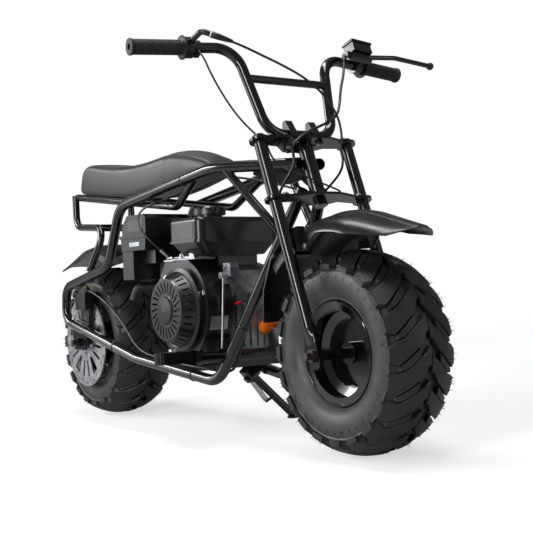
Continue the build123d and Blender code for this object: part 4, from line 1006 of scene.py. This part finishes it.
# Stage, lights and camera
def background_seen(tree, rays):
    """1 for the eye and through glass, less in gloss, 0 for light that falls on the machine."""
    gloss = add_node(tree, "ShaderNodeMath", {0: rays.outputs["Is Glossy Ray"], 1: 0.1}, operation="MULTIPLY")
    clear = add_node(tree, "ShaderNodeMath", {
        0: rays.outputs["Is Camera Ray"], 1: rays.outputs["Is Transmission Ray"],
    }, operation="MAXIMUM")
    either = add_node(tree, "ShaderNodeMath", {0: gloss.outputs[0], 1: clear.outputs[0]}, operation="MAXIMUM")
    return either.outputs[0]


def backdrop():
    """A pale floor: white away from the machine, shadowed beneath it."""
    material, tree, place = new_material("pale_floor")
    diffuse = add_node(tree, "ShaderNodeBsdfDiffuse", {"Color": linear("#b4b4b4")})
    rays = add_node(tree, "ShaderNodeLightPath")
    glow = add_node(tree, "ShaderNodeEmission", {"Color": linear("#ffffff"), "Strength": 1.0})
    base = add_node(tree, "ShaderNodeEmission", {"Color": linear("#ffffff"), "Strength": 0.62})
    near = add_node(tree, "ShaderNodeAddShader", {0: diffuse.outputs[0], 1: base.outputs[0]})
    distance = add_node(tree, "ShaderNodeVectorMath", {0: place}, operation="LENGTH").outputs["Value"]
    far = ramp(tree, distance, 0.0, 1.0, 1.0, 2.0)
    seen = add_node(tree, "ShaderNodeMixShader", {0: far, 1: near.outputs[0], 2: glow.outputs[0]})
    mix = add_node(tree, "ShaderNodeMixShader", {
        0: background_seen(tree, rays), 1: diffuse.outputs[0], 2: seen.outputs[0],
    })
    add_node(tree, "ShaderNodeOutputMaterial", {"Surface": mix.outputs[0]})
    bpy.ops.mesh.primitive_plane_add(size=60, location=(0, 0, -0.0005))
    floor = bpy.context.object
    floor.name = "floor"
    floor.data.materials.append(material)


def world_light():
    world = bpy.data.worlds.new("studio")
    bpy.context.scene.world = world
    world.use_nodes = True
    tree = world.node_tree
    tree.nodes.clear()
    rays = add_node(tree, "ShaderNodeLightPath")
    dim = add_node(tree, "ShaderNodeBackground", {"Color": linear("#ffffff"), "Strength": 0.08})
    bright = add_node(tree, "ShaderNodeBackground", {"Color": linear("#ffffff"), "Strength": 1.0})
    mix = add_node(tree, "ShaderNodeMixShader", {
        0: background_seen(tree, rays), 1: dim.outputs[0], 2: bright.outputs[0],
    })
    add_node(tree, "ShaderNodeOutputWorld", {"Surface": mix.outputs[0]})


def softbox(name, place, target, size, watts):
    lamp = bpy.data.lights.new(name, "AREA")
    lamp.shape = "RECTANGLE"
    lamp.size, lamp.size_y = size
    lamp.energy = watts
    obj = bpy.data.objects.new(name, lamp)
    obj.location = place
    obj.rotation_euler = (Vector(target) - Vector(place)).to_track_quat("-Z", "Y").to_euler()
    bpy.context.scene.collection.objects.link(obj)


def camera():
    """The photograph's view: azimuth, elevation and roll about the upright machine."""
    azimuth, elevation, roll = math.radians(55.39), math.radians(-0.9), math.radians(-2.18)
    eye = Vector((2673.65, -1325.32, 346.08))
    focal, frame_width = 1048.1, 533.0
    ahead = Vector((
        -math.sin(azimuth) * math.cos(elevation),
        math.cos(azimuth) * math.cos(elevation),
        -math.sin(elevation),
    ))
    right = Vector((math.cos(azimuth), math.sin(azimuth), 0))
    up = right.cross(ahead)
    tilted = right * math.cos(roll) + up * math.sin(roll)
    top = up * math.cos(roll) - right * math.sin(roll)
    turn = UPRIGHT.to_3x3().normalized() @ Matrix((tilted, top, -ahead)).transposed()
    data = bpy.data.cameras.new("camera")
    data.sensor_width = 36.0
    data.lens = focal / frame_width * data.sensor_width
    data.clip_start, data.clip_end = 0.05, 100
    obj = bpy.data.objects.new("camera", data)
    obj.matrix_world = Matrix.Translation(UPRIGHT @ eye) @ turn.to_4x4()
    bpy.context.scene.collection.objects.link(obj)
    bpy.context.scene.camera = obj


backdrop()
world_light()
# Name, place, what it faces, width and height in metres, and watts
softbox("side", (-2.4, -2.3, 1.2), (0, 0, 0.35), (2.0, 1.6), 26)
softbox("side_high", (-2.5, -2.4, 2.1), (0, 0, 0.45), (2.4, 0.4), 70)
softbox("side_strip", (1.3, -3.2, 1.7), (0, 0, 0.45), (0.6, 2.6), 80)
softbox("top", (0.0, 0.0, 3.0), (0, 0, 0.4), (2.8, 0.6), 60)
softbox("front_strip", (3.4, 1.6, 1.3), (0, 0, 0.45), (0.22, 2.4), 12)
camera()
bpy.context.scene.view_settings.view_transform = "Standard"
